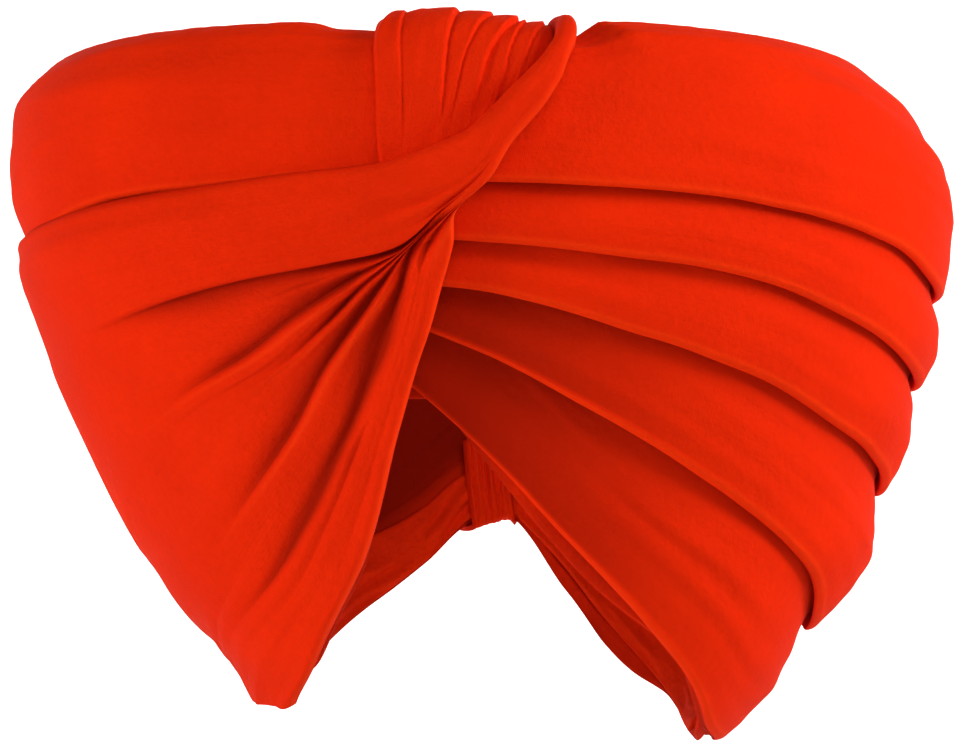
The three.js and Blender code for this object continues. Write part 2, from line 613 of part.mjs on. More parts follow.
const turban = new THREE.Group();
turban.add(
  piece("inner_wrap", innerWrap(), SHADED_CLOTH),
  ...TURNS.slice(0, -1).map((_, turn) => piece(`turn_${turn + 1}`, lowerTurn(turn), CLOTH)),
  piece(`turn_${TURNS.length}`, topTurn(), CLOTH),
  piece("crown_cover", crownCover(), SHADED_CLOTH),
  piece("front_tuck", browTuck(), CLOTH),
  piece("fan_wrap", fanWrap(), CLOTH),
  piece("nape_band", napeBand(), SHADED_CLOTH),
  piece("back_tuck", napeTuck(), CLOTH),
);
// The crown's underside is the origin
turban.position.z = -(HEIGHT * section("up", COLLAR) + GAP + CROWN_RISE);

export default turban;
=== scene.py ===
import math

import bmesh
import bpy
import numpy as np
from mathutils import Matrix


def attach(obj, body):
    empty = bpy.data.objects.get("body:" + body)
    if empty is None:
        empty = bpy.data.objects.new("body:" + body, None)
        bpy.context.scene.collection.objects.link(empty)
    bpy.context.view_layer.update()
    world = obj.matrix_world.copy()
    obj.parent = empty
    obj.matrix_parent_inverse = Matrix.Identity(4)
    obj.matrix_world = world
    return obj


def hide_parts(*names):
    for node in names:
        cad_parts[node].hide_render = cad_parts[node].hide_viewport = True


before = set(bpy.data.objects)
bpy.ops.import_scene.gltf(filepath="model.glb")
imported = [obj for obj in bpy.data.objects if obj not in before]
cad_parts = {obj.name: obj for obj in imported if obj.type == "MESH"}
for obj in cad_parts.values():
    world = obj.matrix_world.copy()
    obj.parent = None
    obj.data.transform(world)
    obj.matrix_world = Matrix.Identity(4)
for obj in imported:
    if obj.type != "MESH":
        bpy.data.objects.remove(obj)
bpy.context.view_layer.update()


# ---------------------------------------------------------------------------------------------
# Inner wrap. The first cloth of the winding: thin cotton voile in flat layers that are pulled
# smooth and still drag a little. Only its inside and its lower edge show.
# ---------------------------------------------------------------------------------------------

HEIGHT = 220.0  # millimetres, as all lengths up to the studio
HOLLOW_WIDTH, HOLLOW_FRONT, HOLLOW_BACK = 176.0, 102.0, 106.0
SIDE_BUILD, FRONT_BUILD, BACK_BUILD = 61.0, 32.0, 36.0  # how far the turns stand off the hollow
LEAN, BULGE = 10.0, 0.03  # sideways lean, and how far the oval squares out between the axes
CROWN_SEAT = 212.33  # the frame's origin, under the crown, above the lowest tips

# From the rim up the wall, over the rolled top and down into the crown: the place along it, its
# height, and the shares of the hollow and of the builds that it takes there
SECTION_KEYS = ("at", "up", "width", "length", "side", "front", "back", "lean", "dip")
SECTIONS = dict(zip(SECTION_KEYS, np.array([
    (0.0, 0.0, 0.67, 0.63, 0.15, 0.24, 0.25, 0.8, 0),
    (0.114, 0.114, 0.852, 0.75, 0.17, 0.36, 0.33, 1.17, 0),
    (0.264, 0.264, 0.955, 0.86, 0.44, 0.385, 0.36, 1.1, 0),
    (0.364, 0.364, 0.983, 0.92, 0.565, 0.38, 0.45, 0.82, 0),
    (0.509, 0.509, 1.0, 0.98, 0.75, 0.485, 0.64, 0.62, 0),
    (0.655, 0.655, 1.0, 1.0, 0.9, 0.75, 0.83, 0.45, 0),
    (0.786, 0.786, 1.0, 1.0, 1.0, 0.97, 0.95, 0.05, 0),
    (0.909, 0.909, 0.966, 0.965, 0.93, 1.0, 0.97, -0.6, 0),
    (0.948, 0.943, 0.966, 0.965, 0.82, 0.93, 0.9, -0.75, 0.2),
    (1.01, 0.98, 0.966, 0.965, 0.625, 0.78, 0.75, -0.85, 0.75),
    (1.1, 1.0, 0.966, 0.965, 0.345, 0.45, 0.43, -0.9, 1.0),
    (1.17, 0.995, 0.962, 0.962, 0.135, 0.16, 0.16, -0.85, 0.85),
    (1.21, 0.977, 0.955, 0.955, 0, 0, 0, -0.8, 0.5),
    (1.245, 0.945, 0.925, 0.925, 0, 0, 0, -0.8, 0),
    (1.285, 0.922, 0.885, 0.885, 0, 0, 0, -0.8, 0),
]).T))
DIP_TURN = (-24, -15, 3, 10, 16, 20, 25)  # the rolled top is pressed down under the brow cloths
DIP_DEPTH = (0, 3, 3.5, 6, 7, 6, 0)

# Folded lower edge of each turn, a share of HEIGHT, from the apex of the front opening round to
# the nape; the rim has its own course on the right
EDGE_KEYS = ("round", "rim_right", "turn_1", "turn_2", "turn_3", "turn_4", "turn_5")
EDGES = dict(zip(EDGE_KEYS, np.array([
    (0.0, 0.505, 0.505, 0.594, 0.646, 0.709, 0.786),
    (0.06, 0.3, 0.39, 0.543, 0.634, 0.703, 0.783),
    (0.13, 0.205, 0.259, 0.474, 0.596, 0.688, 0.777),
    (0.22, 0.132, 0.147, 0.381, 0.541, 0.661, 0.76),
    (0.33, 0.11, 0.047, 0.267, 0.454, 0.593, 0.716),
    (0.43, 0.102, 0.012, 0.187, 0.395, 0.536, 0.66),
    (0.53, 0.102, 0.0, 0.16, 0.356, 0.506, 0.636),
    (0.65, 0.115, 0.012, 0.188, 0.364, 0.512, 0.636),
    (0.8, 0.19, 0.082, 0.273, 0.418, 0.55, 0.668),
    (0.88, 0.245, 0.15, 0.325, 0.452, 0.573, 0.69),
    (0.94, 0.3, 0.235, 0.37, 0.485, 0.597, 0.708),
    (1.0, 0.32, 0.32, 0.415, 0.515, 0.617, 0.722),
]).T))
APEX = -12.0  # degrees from the brow to the point of the front opening
RIM_DRAWN_BACK = 0.042  # share of the way round that the rim stays back behind the gathered cloth


def curve(places, values, place):
    """Smooth line through values at rising places, held at both ends."""
    places, values = np.asarray(places, float), np.asarray(values, float)
    place = np.clip(np.asarray(place, float), places[0], places[-1])
    low = np.clip(np.searchsorted(places, place, side="right") - 1, 0, len(places) - 2)
    inner = (values[2:] - values[:-2]) / (places[2:] - places[:-2])
    ends = (values[[1, -1]] - values[[0, -2]]) / (places[[1, -1]] - places[[0, -2]])
    slopes = np.concatenate([ends[:1], inner, ends[1:]])
    span = places[low + 1] - places[low]
    t = (place - places[low]) / span
    ease = t * t * (3 - 2 * t)
    bend = span * t * (1 - t) * ((1 - t) * slopes[low] - t * slopes[low + 1])
    return values[low] + (values[low + 1] - values[low]) * ease + bend


def section(key, at):
    return curve(SECTIONS["at"], SECTIONS[key], at)


def oval(turn, at, build):
    """Points of the section at a place up the wall; turn is in degrees from the brow."""
    turn, at = np.broadcast_arrays(np.asarray(turn, float), np.asarray(at, float))
    across, along = np.sin(np.radians(turn)), np.cos(np.radians(turn))
    swell = 1 + BULGE * np.sin(2 * np.radians(turn)) ** 2
    width = HOLLOW_WIDTH / 2 * section("width", at) + build * SIDE_BUILD * section("side", at)
    front = HOLLOW_FRONT * section("length", at) + build * FRONT_BUILD * section("front", at)
    back = HOLLOW_BACK * section("length", at) + build * BACK_BUILD * section("back", at)
    dip = curve(DIP_TURN, DIP_DEPTH, turn) * section("dip", at)
    return np.stack([
        LEAN * section("lean", at) + width * across * swell,
        -np.where(along > 0, front, back) * along * swell,
        HEIGHT * section("up", at) - dip,
    ], axis=-1)


def outside(turn, at):
    return oval(turn, at, 1.0)


def hollow(turn, at):
    return oval(turn, at, 0.0)


def unit(vectors):
    return vectors / np.maximum(np.linalg.norm(vectors, axis=-1, keepdims=True), 1e-9)


def inset(turn, at, depth):
    """Points inside the hollow, off its wall."""
    wall = hollow(turn, at)
    return wall + unit(wall - outside(turn, np.minimum(at, 1.1))) * np.asarray(depth)[..., None]


def smooth(value, low, high):
    t = np.clip((value - low) / (high - low), 0, 1)
    return t * t * (3 - 2 * t)


def share_round(turn):
    return np.where(turn > APEX, (turn - APEX) / (180 - APEX), (APEX - turn) / (180 + APEX))


def edge_at(key, turn):
    """Height of a turn's folded edge at an angle, a share of HEIGHT."""
    share = share_round(turn)
    is_rim = key == "turn_1"
    drawn_back = RIM_DRAWN_BACK * (1 - smooth(share, 0.12, 0.3)) if is_rim else 0
    right = curve(EDGES["round"], EDGES["rim_right" if is_rim else key], share - drawn_back)
    return np.where(turn > APEX, curve(EDGES["round"], EDGES[key], share), right)


def drag(along, across, seed, reach, pitch):
    """Soft wrinkles that run with the pull of the cloth: long along, narrow across, from -1 to 1."""
    dice = np.random.default_rng(seed)
    along, across = np.broadcast_arrays(along, across)
    total = np.zeros(along.shape)
    for _ in range(9):
        width = pitch * dice.uniform(0.6, 2.2)
        slant = dice.normal(0, 0.35) / reach
        wave = np.sin(2 * math.pi * (across / width + along * slant + dice.uniform()))
        patch = np.sin(2 * math.pi * (along / (reach * dice.uniform(0.7, 1.9)) + dice.uniform()))
        patch *= np.sin(2 * math.pi * (across / (pitch * dice.uniform(5, 11)) + dice.uniform()))
        total += wave * np.clip(patch, 0, 1) * width / pitch
    return total / 3.2


def arc(points, axis):
    """Distance along a grid of points, in millimetres from its first row or column."""
    step = np.linalg.norm(np.diff(points, axis=axis), axis=-1)
    return np.concatenate([np.zeros_like(np.take(step, [0], axis=axis)), np.cumsum(step, axis=axis)], axis)


def cloth(name, loops, is_ring, painted_shading=None):
    """Closed cloth from the loops round its thickness, one for each station along it.

    loops: stations x points x 3, in millimetres above the tips. A ring joins its last loop to its
    first; a strip gets its two ends sewn shut. The UV map is the cloth's own length and breadth.
    The shading argument is painted light, kept as a point attribute: from -1, painted shade in a
    crease or under a fold, to 1, a painted highlight on a fold edge.
    """
    stations, breadth = loops.shape[:2]
    closed = np.concatenate([loops, loops[:1]]) if is_ring else loops
    around = np.concatenate([closed, closed[:, :1]], axis=1)
    length = np.median(arc(around, 0), axis=1)[:, None] + np.zeros(around.shape[:2])
    width = np.median(arc(around, 1), axis=0)[None, :] + np.zeros(around.shape[:2])
    uv = np.stack([length, width], axis=-1) / 1000

    first, second = np.meshgrid(np.arange(len(closed) - 1), np.arange(breadth), indexing="ij")
    first, second = first.ravel(), second.ravel()
    corners = [(first, second), (first + 1, second), (first + 1, second + 1), (first, second + 1)]
    faces = np.stack([(a % stations) * breadth + b % breadth for a, b in corners], axis=-1)
    face_uv = np.stack([uv[a, b] for a, b in corners], axis=1)
    if not is_ring:
        half = breadth // 2
        near = np.arange(half - 1)
        for row, order in ((0, (0, 1, 2, 3)), (stations - 1, (3, 2, 1, 0))):
            ends = [near, near + 1, breadth - 2 - near, breadth - 1 - near]
            end_faces = np.stack([row * breadth + ends[corner] for corner in order], axis=-1)
            faces = np.concatenate([faces, end_faces])
            face_uv = np.concatenate([face_uv, np.stack([uv[row, ends[c]] for c in order], axis=1)])

    mesh = bpy.data.meshes.new(name)
    places = loops.reshape(-1, 3) - (0, 0, CROWN_SEAT)
    mesh.vertices.add(len(places))
    mesh.vertices.foreach_set("co", (places / 1000).ravel())
    mesh.loops.add(faces.size)
    mesh.loops.foreach_set("vertex_index", faces.ravel())
    mesh.polygons.add(len(faces))
    mesh.polygons.foreach_set("loop_start", np.arange(len(faces)) * 4)
    mesh.polygons.foreach_set("use_smooth", np.ones(len(faces), bool))
    mesh.uv_layers.new(name="cloth").data.foreach_set("uv", face_uv.ravel())
    # Painted light and shade of the cloth, kept with it as a point attribute
    shading_paint = np.zeros(loops.shape[:2]) if painted_shading is None else painted_shading
    shading_layer = mesh.attributes.new("painted_shading", "FLOAT", "POINT")
    shading_layer.data.foreach_set("value", shading_paint.astype(np.float32).ravel())
    mesh.update(calc_edges=True)
    shape = bmesh.new()
    shape.from_mesh(mesh)
    bmesh.ops.recalc_face_normals(shape, faces=shape.faces)
    if shape.calc_volume(signed=True) < 0:
        bmesh.ops.reverse_faces(shape, faces=shape.faces)
    shape.to_mesh(mesh)
    shape.free()
    piece = bpy.data.objects.new(name, mesh)
    bpy.context.scene.collection.objects.link(piece)
    return piece


class Thread:
    """A socket of a material; arithmetic on it adds Math nodes."""

    def __init__(self, dye, socket):
        self.dye, self.socket = dye, socket

    def maths(self, operation, *others):
        return self.dye.maths(operation, self, *others)

    def __add__(self, other):
        return self.maths("ADD", other)

    def __sub__(self, other):
        return self.maths("SUBTRACT", other)

    def __rsub__(self, other):
        return self.dye.maths("SUBTRACT", other, self)

    def __mul__(self, other):
        return self.maths("MULTIPLY", other)

    __radd__ = __add__
    __rmul__ = __mul__


class Dye:
    """The nodes of one material."""

    def __init__(self, name):
        self.material = bpy.data.materials.new(name)
        self.material.use_nodes = True
        self.tree = self.material.node_tree
        self.tree.nodes.clear()

    def node(self, kind, settings, inputs):
        """Adds a node with its settings and sockets, and returns its outputs by name."""
        made = self.tree.nodes.new("ShaderNode" + kind)
        for key, value in settings.items():
            setattr(made, key, value)
        for key, value in inputs.items():
            if isinstance(value, Thread):
                self.tree.links.new(value.socket, made.inputs[key])
            else:
                made.inputs[key].default_value = value
        return {output.name: Thread(self, output) for output in made.outputs if output.enabled}

    def maths(self, operation, *values):
        return self.node("Math", {"operation": operation}, dict(enumerate(values)))["Value"]

    def mix(self, factor, first, second):
        """Colour between two colours, each a Thread or red, green and blue."""
        ends = [end if isinstance(end, Thread) else (*end, 1.0) for end in (first, second)]
        sockets = {"Factor": factor, "A": ends[0], "B": ends[1]}
        return self.node("Mix", {"data_type": "RGBA"}, sockets)["Result"]


THREAD_PITCH = 0.00052  # metres between the threads of the voile


def voile(name, colour, deep, crumple):
    """Dyed cotton voile in random blotches of colour and deep, with painted light from the cloth's shading
    attribute: a paler red for painted highlights on fold edges and crease lips, half of deep for painted
    shade in creases, under folds and inside.
    """
    dye = Dye(name)
    along = dye.node("UVMap", {"uv_map": "cloth"}, {})["UV"]
    place = dye.node("TexCoord", {}, {})["Object"]
    axes = dye.node("SeparateXYZ", {}, {"Vector": along})
    warp = (axes["X"] * (2 * math.pi / THREAD_PITCH)).maths("SINE")
    weft = (axes["Y"] * (2 * math.pi / THREAD_PITCH)).maths("SINE")
    weave = warp.maths("MAXIMUM", weft)
    slub = dye.node("Mapping", {}, {"Vector": along, "Scale": (90.0, 900.0, 1.0)})["Vector"]
    slubs = dye.node("TexNoise", {}, {"Vector": slub, "Scale": 1.0, "Detail": 3.0})["Fac"]
    fine = dye.node("TexNoise", {}, {
        "Vector": place, "Scale": 420.0, "Detail": 4.0, "Roughness": 0.6})["Fac"]
    broad = dye.node("TexNoise", {}, {
        "Vector": place, "Scale": 26.0, "Detail": 3.0, "Roughness": 0.55})["Fac"]
    blotch = broad * 0.6 + fine * 0.25 + slubs * 0.15
    patch = dye.node("MapRange", {}, {"Value": blotch, "From Min": 0.32, "From Max": 0.66})["Result"]
    tint = dye.mix(patch, deep, colour)
    # Painted light: the shading attribute pales the tint for a painted highlight above 0 and darkens it for
    # painted shade below 0
    painted_shading = dye.node("Attribute", {"attribute_name": "painted_shading"}, {})["Fac"]
    pale = tuple(min(1.0, level * gain) for level, gain in zip(colour, (1.12, 1.9, 3.0)))
    painted_shade = tuple(level * 0.5 for level in deep)
    tint = dye.mix(painted_shading.maths("MAXIMUM", 0.0), tint, pale)
    tint = dye.mix((0.0 - painted_shading).maths("MAXIMUM", 0.0), tint, painted_shade)
    height = weave * 0.00006 + fine * (0.0011 * crumple) + slubs * (0.0002 * crumple)
    normal = dye.node("Bump", {}, {"Height": height, "Strength": 0.5, "Distance": 1.0})["Normal"]
    shader = dye.node("BsdfPrincipled", {}, {
        "Base Color": tint, "Roughness": 0.74 + patch * 0.12, "Normal": normal,
        "Specular IOR Level": 0.03})
    dye.node("OutputMaterial", {}, {"Surface": shader["BSDF"]})
    return dye.material


def dress(piece, node, material):
    """The piece wears its material, stands for its CAD node and rides with it."""
    piece.data.materials.append(material)
    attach(piece, "root")
    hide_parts(node)


LINER_PEEK, LINER_SAG = 0.8, 6.5  # shows below the first turn, and sags at the left of the nape
DRAWN_UP, TIP_DRAWN_UP = 8.0, 1.6  # how far its edge is drawn up beside the brow, and at the left point
LAYER, LAYER_STEP = 13.0, 1.5  # breadth that shows of each inner layer, and how far it stands in
WRAP_TOP = 0.905  # place up the wall where the wrap ends, under the crown cover
WRAP_INNER, WRAP_OUTER = -0.6, -2.4  # its two faces, off the hollow's wall
ROUND = np.linspace(-180, 180, 480, endpoint=False)[:, None]

up = np.concatenate([np.linspace(0, 0.35, 72)[:-1], np.linspace(0.35, 1, 32)])[None, :]
sag = LINER_SAG * smooth(ROUND, 128, 160) * (1 - smooth(ROUND, 168, 179))
sag = sag - DRAWN_UP * smooth(ROUND, 5, 40) * (1 - smooth(ROUND, 45, 65))
sag = sag - TIP_DRAWN_UP * smooth(ROUND, 45, 65) * (1 - smooth(ROUND, 112, 140))
foot = edge_at("turn_1", ROUND) - (LINER_PEEK + sag) / HEIGHT
place = foot + (WRAP_TOP - foot) * up
rise = (place - foot) * HEIGHT
slope = 5 * np.sin(np.radians(ROUND * 2 + 40)) + 4 * np.sin(np.radians(ROUND * 3 - 20))
layer = (rise + slope) / LAYER + 0.18 * drag(ROUND * 1.6, rise, 3, 90, 14)
layer = layer - np.floor(layer)
relief = LAYER_STEP * np.where(layer < 0.86, layer / 0.86, (1 - layer) / 0.14)
relief = relief + 0.45 * drag(ROUND * 1.6, rise + 9 * np.sin(np.radians(ROUND * 2)), 4, 80, 11)
low_down = 1 - smooth(rise, 22, 45)
inner = inset(ROUND, place, WRAP_INNER + relief * smooth(up, 0, 0.03) * low_down)
inner_painted_shade = -smooth(rise, 13, 27)  # painted shade, darker deeper inside the wrap
outer = inset(ROUND, place[:, ::6], np.full(place[:, ::6].shape, WRAP_OUTER))
turn_under = (inner[:, :1] + outer[:, :1]) / 2 - (0, 0, 0.6)
loops = np.concatenate([inner[:, ::-1], turn_under, outer], axis=1)
wrap_painted_shading = np.concatenate([inner_painted_shade[:, ::-1], np.zeros(loops.shape[:2])[:, inner.shape[1]:]], axis=1)
wrap = cloth("inner_wrap_voile", loops, True, wrap_painted_shading)
# Its colour is darker than the turns' voile: painted shade for the inside of the hollow
wrap_shaded_voile = voile("inner_wrap_voile", (0.76, 0.020, 0.0012), (0.52, 0.012, 0.0008), 1.3)
dress(wrap, "inner_wrap", wrap_shaded_voile)


# ---------------------------------------------------------------------------------------------
# The five wound turns. Each is a strip of voile folded in layers to a soft edge and wound over
# the one below, lowest first; the top one rolls over into the crown.
# ---------------------------------------------------------------------------------------------

FOLD, GAP = 3.2, 0.35  # thickness of a turn at its soft edge, and the air between two pieces
UNDER_RISE = 14.0  # the inner layers of the rim end this much above its outer fold
HIDDEN = 15.0  # how far a turn runs on under the one above it
FULLNESS, SIDE_FULLNESS = 0.9, 2.4  # how far a turn puffs out, and how much more at the left side
EDGE_WAVER, PULL_DEPTH = 0.5, 0.42  # how far the folded edge and the fine wrinkles wander
SINK_ROOM = 0.8  # spare room under the fold of the turn above
ROLL_FROM, LIP = 0.93, 1.285  # where the top turn starts to roll over, and its edge in the crown
LINER = -2.9  # the face of the turns that lies against the inner wrap, off the hollow's wall
TURNS = ["turn_1", "turn_2", "turn_3", "turn_4", "turn_5"]
# How far each turn draws in over the brow, in millimetres at its lower and at its upper edge
RECESS = {
    "turn_1": (8.5, 5.0), "turn_2": (4.8, 2.2), "turn_3": (1.8, 0.6),
    "turn_4": (0.3, 0), "turn_5": (0, 0),
}
BROW_PAINTED_SHADE = {"turn_1": 0.85, "turn_2": 0.8}  # painted shade on the two lowest turns beside the brow
TURN_DYES = {
    "turn_1": ((0.88, 0.0235, 0.0010), (0.76, 0.0180, 0.0008)),
    "turn_2": ((0.89, 0.0240, 0.0010), (0.77, 0.0185, 0.0008)),
    "turn_3": ((0.90, 0.0245, 0.0010), (0.78, 0.0190, 0.0008)),
    "turn_4": ((0.91, 0.0250, 0.0010), (0.79, 0.0190, 0.0008)),
    "turn_5": ((0.90, 0.0245, 0.0010), (0.78, 0.0190, 0.0008)),
}


def lifted(turn, at, lift):
    """Points off the outside of the wound turns, along its normal."""
    turn, at, lift = np.broadcast_arrays(turn, at, lift)
    sideways = outside(turn + 0.05, at) - outside(turn - 0.05, at)
    upwards = outside(turn, at + 1e-3) - outside(turn, at - 1e-3)
    return outside(turn, at) + unit(np.cross(sideways, upwards)) * lift[..., None]


def along_turn(turn):
    """Rough distance round the outside of the wrap."""
    return turn * 2.35


def wound_turn(name, number):
    """One turn as a ring of cloth: its outer face, its soft lower fold and its hidden inner face."""
    is_top = number == len(TURNS) - 1
    edge = edge_at(name, ROUND)
    edge = edge + EDGE_WAVER / HEIGHT * drag(along_turn(ROUND), 0 * ROUND + number * 40, 30 + number, 60, 30)
    above = np.full_like(edge, ROLL_FROM) if is_top else edge_at(TURNS[number + 1], ROUND)
    bend = FOLD / 2
    start = edge + bend / HEIGHT
    if is_top:
        wall = start + (ROLL_FROM - start) * np.linspace(0, 1, 38)[None, :]
        roll = np.full_like(start, 1) * np.linspace(ROLL_FROM, LIP, 40)[None, 1:]
        rise = np.concatenate([wall, roll], axis=1)
    else:
        rise = start + (above + HIDDEN / HEIGHT - start) * np.linspace(0, 1, 54)[None, :] ** 1.1
    band = np.clip((rise - edge) / (above - edge), 0, 1.15)
    under = (FOLD + GAP + SINK_ROOM) * np.clip(band, 0, 1) ** 1.6 + 1.2 * np.clip(band - 1, 0, 1)
    sink = 0 if is_top else under
    low, high = RECESS[name]
    brow = np.exp(-((ROUND + 2) / 25) ** 2)
    recess = (low + (high - low) * np.clip(band, 0, 1)) * brow
    fullness = FULLNESS + SIDE_FULLNESS * np.exp(-((ROUND - 92) / 34) ** 2)
    puff = fullness * np.sin(math.pi * np.clip(band, 0, 1)) ** 1.3 * (0 if is_top else 1)
    pull = drag(along_turn(ROUND), rise * HEIGHT - edge * HEIGHT, 60 + number, 150, 8)
    ripple = PULL_DEPTH * pull * smooth(rise - start, 0, 0.03)
    if is_top:
        slow = drag(along_turn(ROUND), rise * HEIGHT - edge * HEIGHT, 71, 130, 24)
        gathers = 0.7 * smooth(rise, 1.0, 1.2) * drag(rise * 200, along_turn(ROUND), 77, 60, 16)
        ripple = (ripple + 0.5 * slow) * (1 - smooth(rise, 1.1, 1.25)) + gathers
    lift = puff - sink - recess + ripple
    outer = lifted(ROUND, rise, lift)
    down = unit(outer[:, :1] - outer[:, 1:2])
    inwards = unit(hollow(ROUND, start) - outside(ROUND, start))
    swing = np.linspace(0, math.pi, 10)[None, 1:-1, None]
    centre = outer[:, :1] + inwards * bend
    fold = centre - inwards * bend * np.cos(swing) + down * bend * np.sin(swing)
    if number == 0:
        liner = inset(ROUND, start, LINER)
        spare = np.linalg.norm(liner - outer[:, :1], axis=-1, keepdims=True)
        first = FOLD / spare
        stack = np.linspace(0, 1, 21)[None, 1:-1, None]
        across = first + (1 - first) * stack
        layer = stack * 2 - np.floor(stack * 2)
        # The layers inside the rim end in two ridges, which close up towards the left point
        at_point = (smooth(ROUND, 25, 45) * (1 - smooth(ROUND, 100, 125)))[:, :, None]
        sag = 1.9 * np.sin(math.pi * layer) ** 0.7 * (1 - 0.8 * at_point)
        uneven = np.stack([drag(along_turn(ROUND), 0 * ROUND + 9 * k, 90 + k, 80, 40) for k in range(2)])
        level = np.take_along_axis(uneven[..., 0].T[:, None, :], np.broadcast_to(
            np.floor(stack * 2).astype(int), (len(ROUND), stack.shape[1], 1)), axis=2)
        ridges = outer[:, :1] + (liner - outer[:, :1]) * across
        under_rise = UNDER_RISE * (1 - 0.95 * at_point)
        level = level * (1 - at_point) + under_rise / 1.6 * np.sin(math.pi / 2 * stack) ** 0.6
        ridges = ridges + np.concatenate([0 * level, 0 * level, 1.6 * level - 0.7 * sag], axis=2)
        fold = np.concatenate([fold, ridges], axis=1)
        foot = start + (under_rise[:, :, 0] + 1.0) / HEIGHT
        back = foot + (rise[:, -1:] - foot) * np.linspace(0, 1, 16)[None, :]
        inner = inset(ROUND, back, np.full(back.shape, LINER))
    elif is_top:
        back = rise[:, 2:-1:3]
        inner = lifted(ROUND, back, lift[:, 2:-1:3] - FOLD)
    else:
        back = start + (rise[:, -1:] - start) * np.linspace(0.04, 1, 16)[None, :]
        inner = lifted(ROUND, back, -FOLD - 0.2 - low * brow - (FOLD + GAP) * np.clip(
            (back - edge) / (above - edge), 0, 1.2) ** 1.3)
    loops = np.concatenate([outer[:, ::-1], fold, inner], axis=1)
    # Painted light: a painted highlight along the folded edge and round the fold; painted shade under the
    # fold of the turn above and on the lowest turns beside the brow; on the rim also inside it and behind
    # the gathered cloth
    shading_paint = np.zeros(loops.shape[:2])
    from_fold = (rise - start) * HEIGHT
    shading_paint[:, :outer.shape[1]] = 0.5 * np.exp(-(from_fold[:, ::-1] / 0.8) ** 2)
    shading_paint[:, outer.shape[1]:outer.shape[1] + 4] = 0.4
    if number == 0:
        shading_paint[:, outer.shape[1] + 6:] = -0.7
        gather_painted_shadow = smooth(-ROUND, 12, 18) * (1 - smooth(-ROUND, 60, 85))
        shading_paint -= 0.9 * gather_painted_shadow
    if not is_top:
        under_next = (above - rise) * HEIGHT
        shading_paint[:, :outer.shape[1]] -= 0.55 * np.exp(-np.clip(under_next, 0, None) / 3.5)[:, ::-1]
        shading_paint[:, :outer.shape[1]] -= BROW_PAINTED_SHADE.get(name, 0) * np.exp(-((ROUND + 6) / 26) ** 2)
    return cloth(name + "_voile", loops, True, shading_paint)


for number, name in enumerate(TURNS):
    strip = wound_turn(name, number)
    dress(strip, name, voile(name + "_voile", *TURN_DYES[name], 1.0))


# ---------------------------------------------------------------------------------------------
# Crown cover. The middle of the cloth, laid over the top before the last turn is rolled down on
# its edge; its folds run from the brow tuck back to the nape tuck.
# ---------------------------------------------------------------------------------------------

CROWN_AT = 0.909  # place up the wall of the edge of the crown cover
CROWN_RISE, CROWN_TUCK, CROWN_CLOTH = 12.0, 10.0, 2.0  # dome, breadth under the roll, thickness
spoke = np.radians(np.linspace(0, 360, 200, endpoint=False))[:, None]
reach = np.linspace(0.004, 1, 60)[None, :]
crown_share = section("length", CROWN_AT)
crown_width = HOLLOW_WIDTH / 2 * section("width", CROWN_AT) + CROWN_TUCK
crown_length = (HOLLOW_FRONT + HOLLOW_BACK) / 2 * crown_share + CROWN_TUCK
crown_x = LEAN * section("lean", CROWN_AT) + crown_width * reach * np.sin(spoke)
crown_y = (HOLLOW_BACK - HOLLOW_FRONT) / 2 * crown_share - crown_length * reach * np.cos(spoke)
dome = CROWN_RISE * (1 + np.cos(math.pi * np.clip(reach / 0.82, 0, 1))) / 2
fan_out = crown_x * (1 + 0.35 * np.cos(crown_y / 95))
crown_folds = 1.5 * drag(crown_y, fan_out, 12, 210, 15) * (1 - smooth(reach, 0.75, 0.9))
crown_top = HEIGHT * CROWN_AT + GAP + dome + CROWN_CLOTH * 0.9 + crown_folds
crown_under = crown_top - CROWN_CLOTH * 0.85
over = np.stack(np.broadcast_arrays(crown_x, crown_y, crown_top), axis=-1)
under = np.stack(np.broadcast_arrays(crown_x, crown_y, crown_under), axis=-1)
crown = cloth("crown_voile", np.concatenate([over, under[:, ::-1]], axis=1), True)
crown_dye = voile("crown_voile", (0.80, 0.021, 0.0010), (0.62, 0.015, 0.0008), 1.2)
dress(crown, "crown_cover", crown_dye)


# ---------------------------------------------------------------------------------------------
# Brow tuck. The loose end of the voile, drawn forward out of the crown, pleated by hand and
# tucked down at the brow under the gathered cloth.
# ---------------------------------------------------------------------------------------------

TUCK_WIDTH, DRAPE = 60.0, 1.2  # its breadth, and the air under the draped cloths
# Rows from the hem up over the roll: the left and right edge, as shares of the breadth off the
# middle and places up the wall, and how full the pleats stand
TUCK_KEYS = ("row", "left", "left_at", "right", "right_at", "bulk")
TUCK = dict(zip(TUCK_KEYS, np.array([
    (0, -0.47, 0.785, 0.24, 0.893, 0.0),
    (1, -0.48, 0.81, 0.26, 0.908, 0.15),
    (2, -0.49, 0.85, 0.29, 0.93, 0.75),
    (3, -0.495, 0.91, 0.31, 0.955, 1.0),
    (4, -0.505, 0.965, 0.33, 0.99, 1.0),
    (5, -0.50, 1.03, 0.36, 1.04, 1.0),
    (6, -0.485, 1.1, 0.38, 1.1, 1.0),
    (7, -0.48, 1.17, 0.38, 1.17, 0.8),
    (8, -0.48, 1.21, 0.37, 1.21, 0.55),
    (9, -0.48, 1.245, 0.36, 1.245, 0.3),
    (10, -0.48, 1.285, 0.36, 1.285, 0.2),
]).T))
# Where its pleats meet, shares of its breadth, at the hem and over the rolled top
PLEATS_HEM = (0.0, 0.163, 0.40, 0.46, 0.60, 0.76, 0.87, 1.0)
PLEATS_TOP = (0.0, 0.152, 0.44, 0.61, 0.76, 0.80, 0.91, 1.0)
PLEAT_RISE = (1.0, 1.7, 1.5, 2.2, 1.4, 1.5, 1.6)
TUCK_CLOTH, PLEAT_BASE = 1.4, 1.9  # thickness at the hem, and what the pleats add below their crests
TUCK_EDGE = 2.4  # how far its side edge rounds down


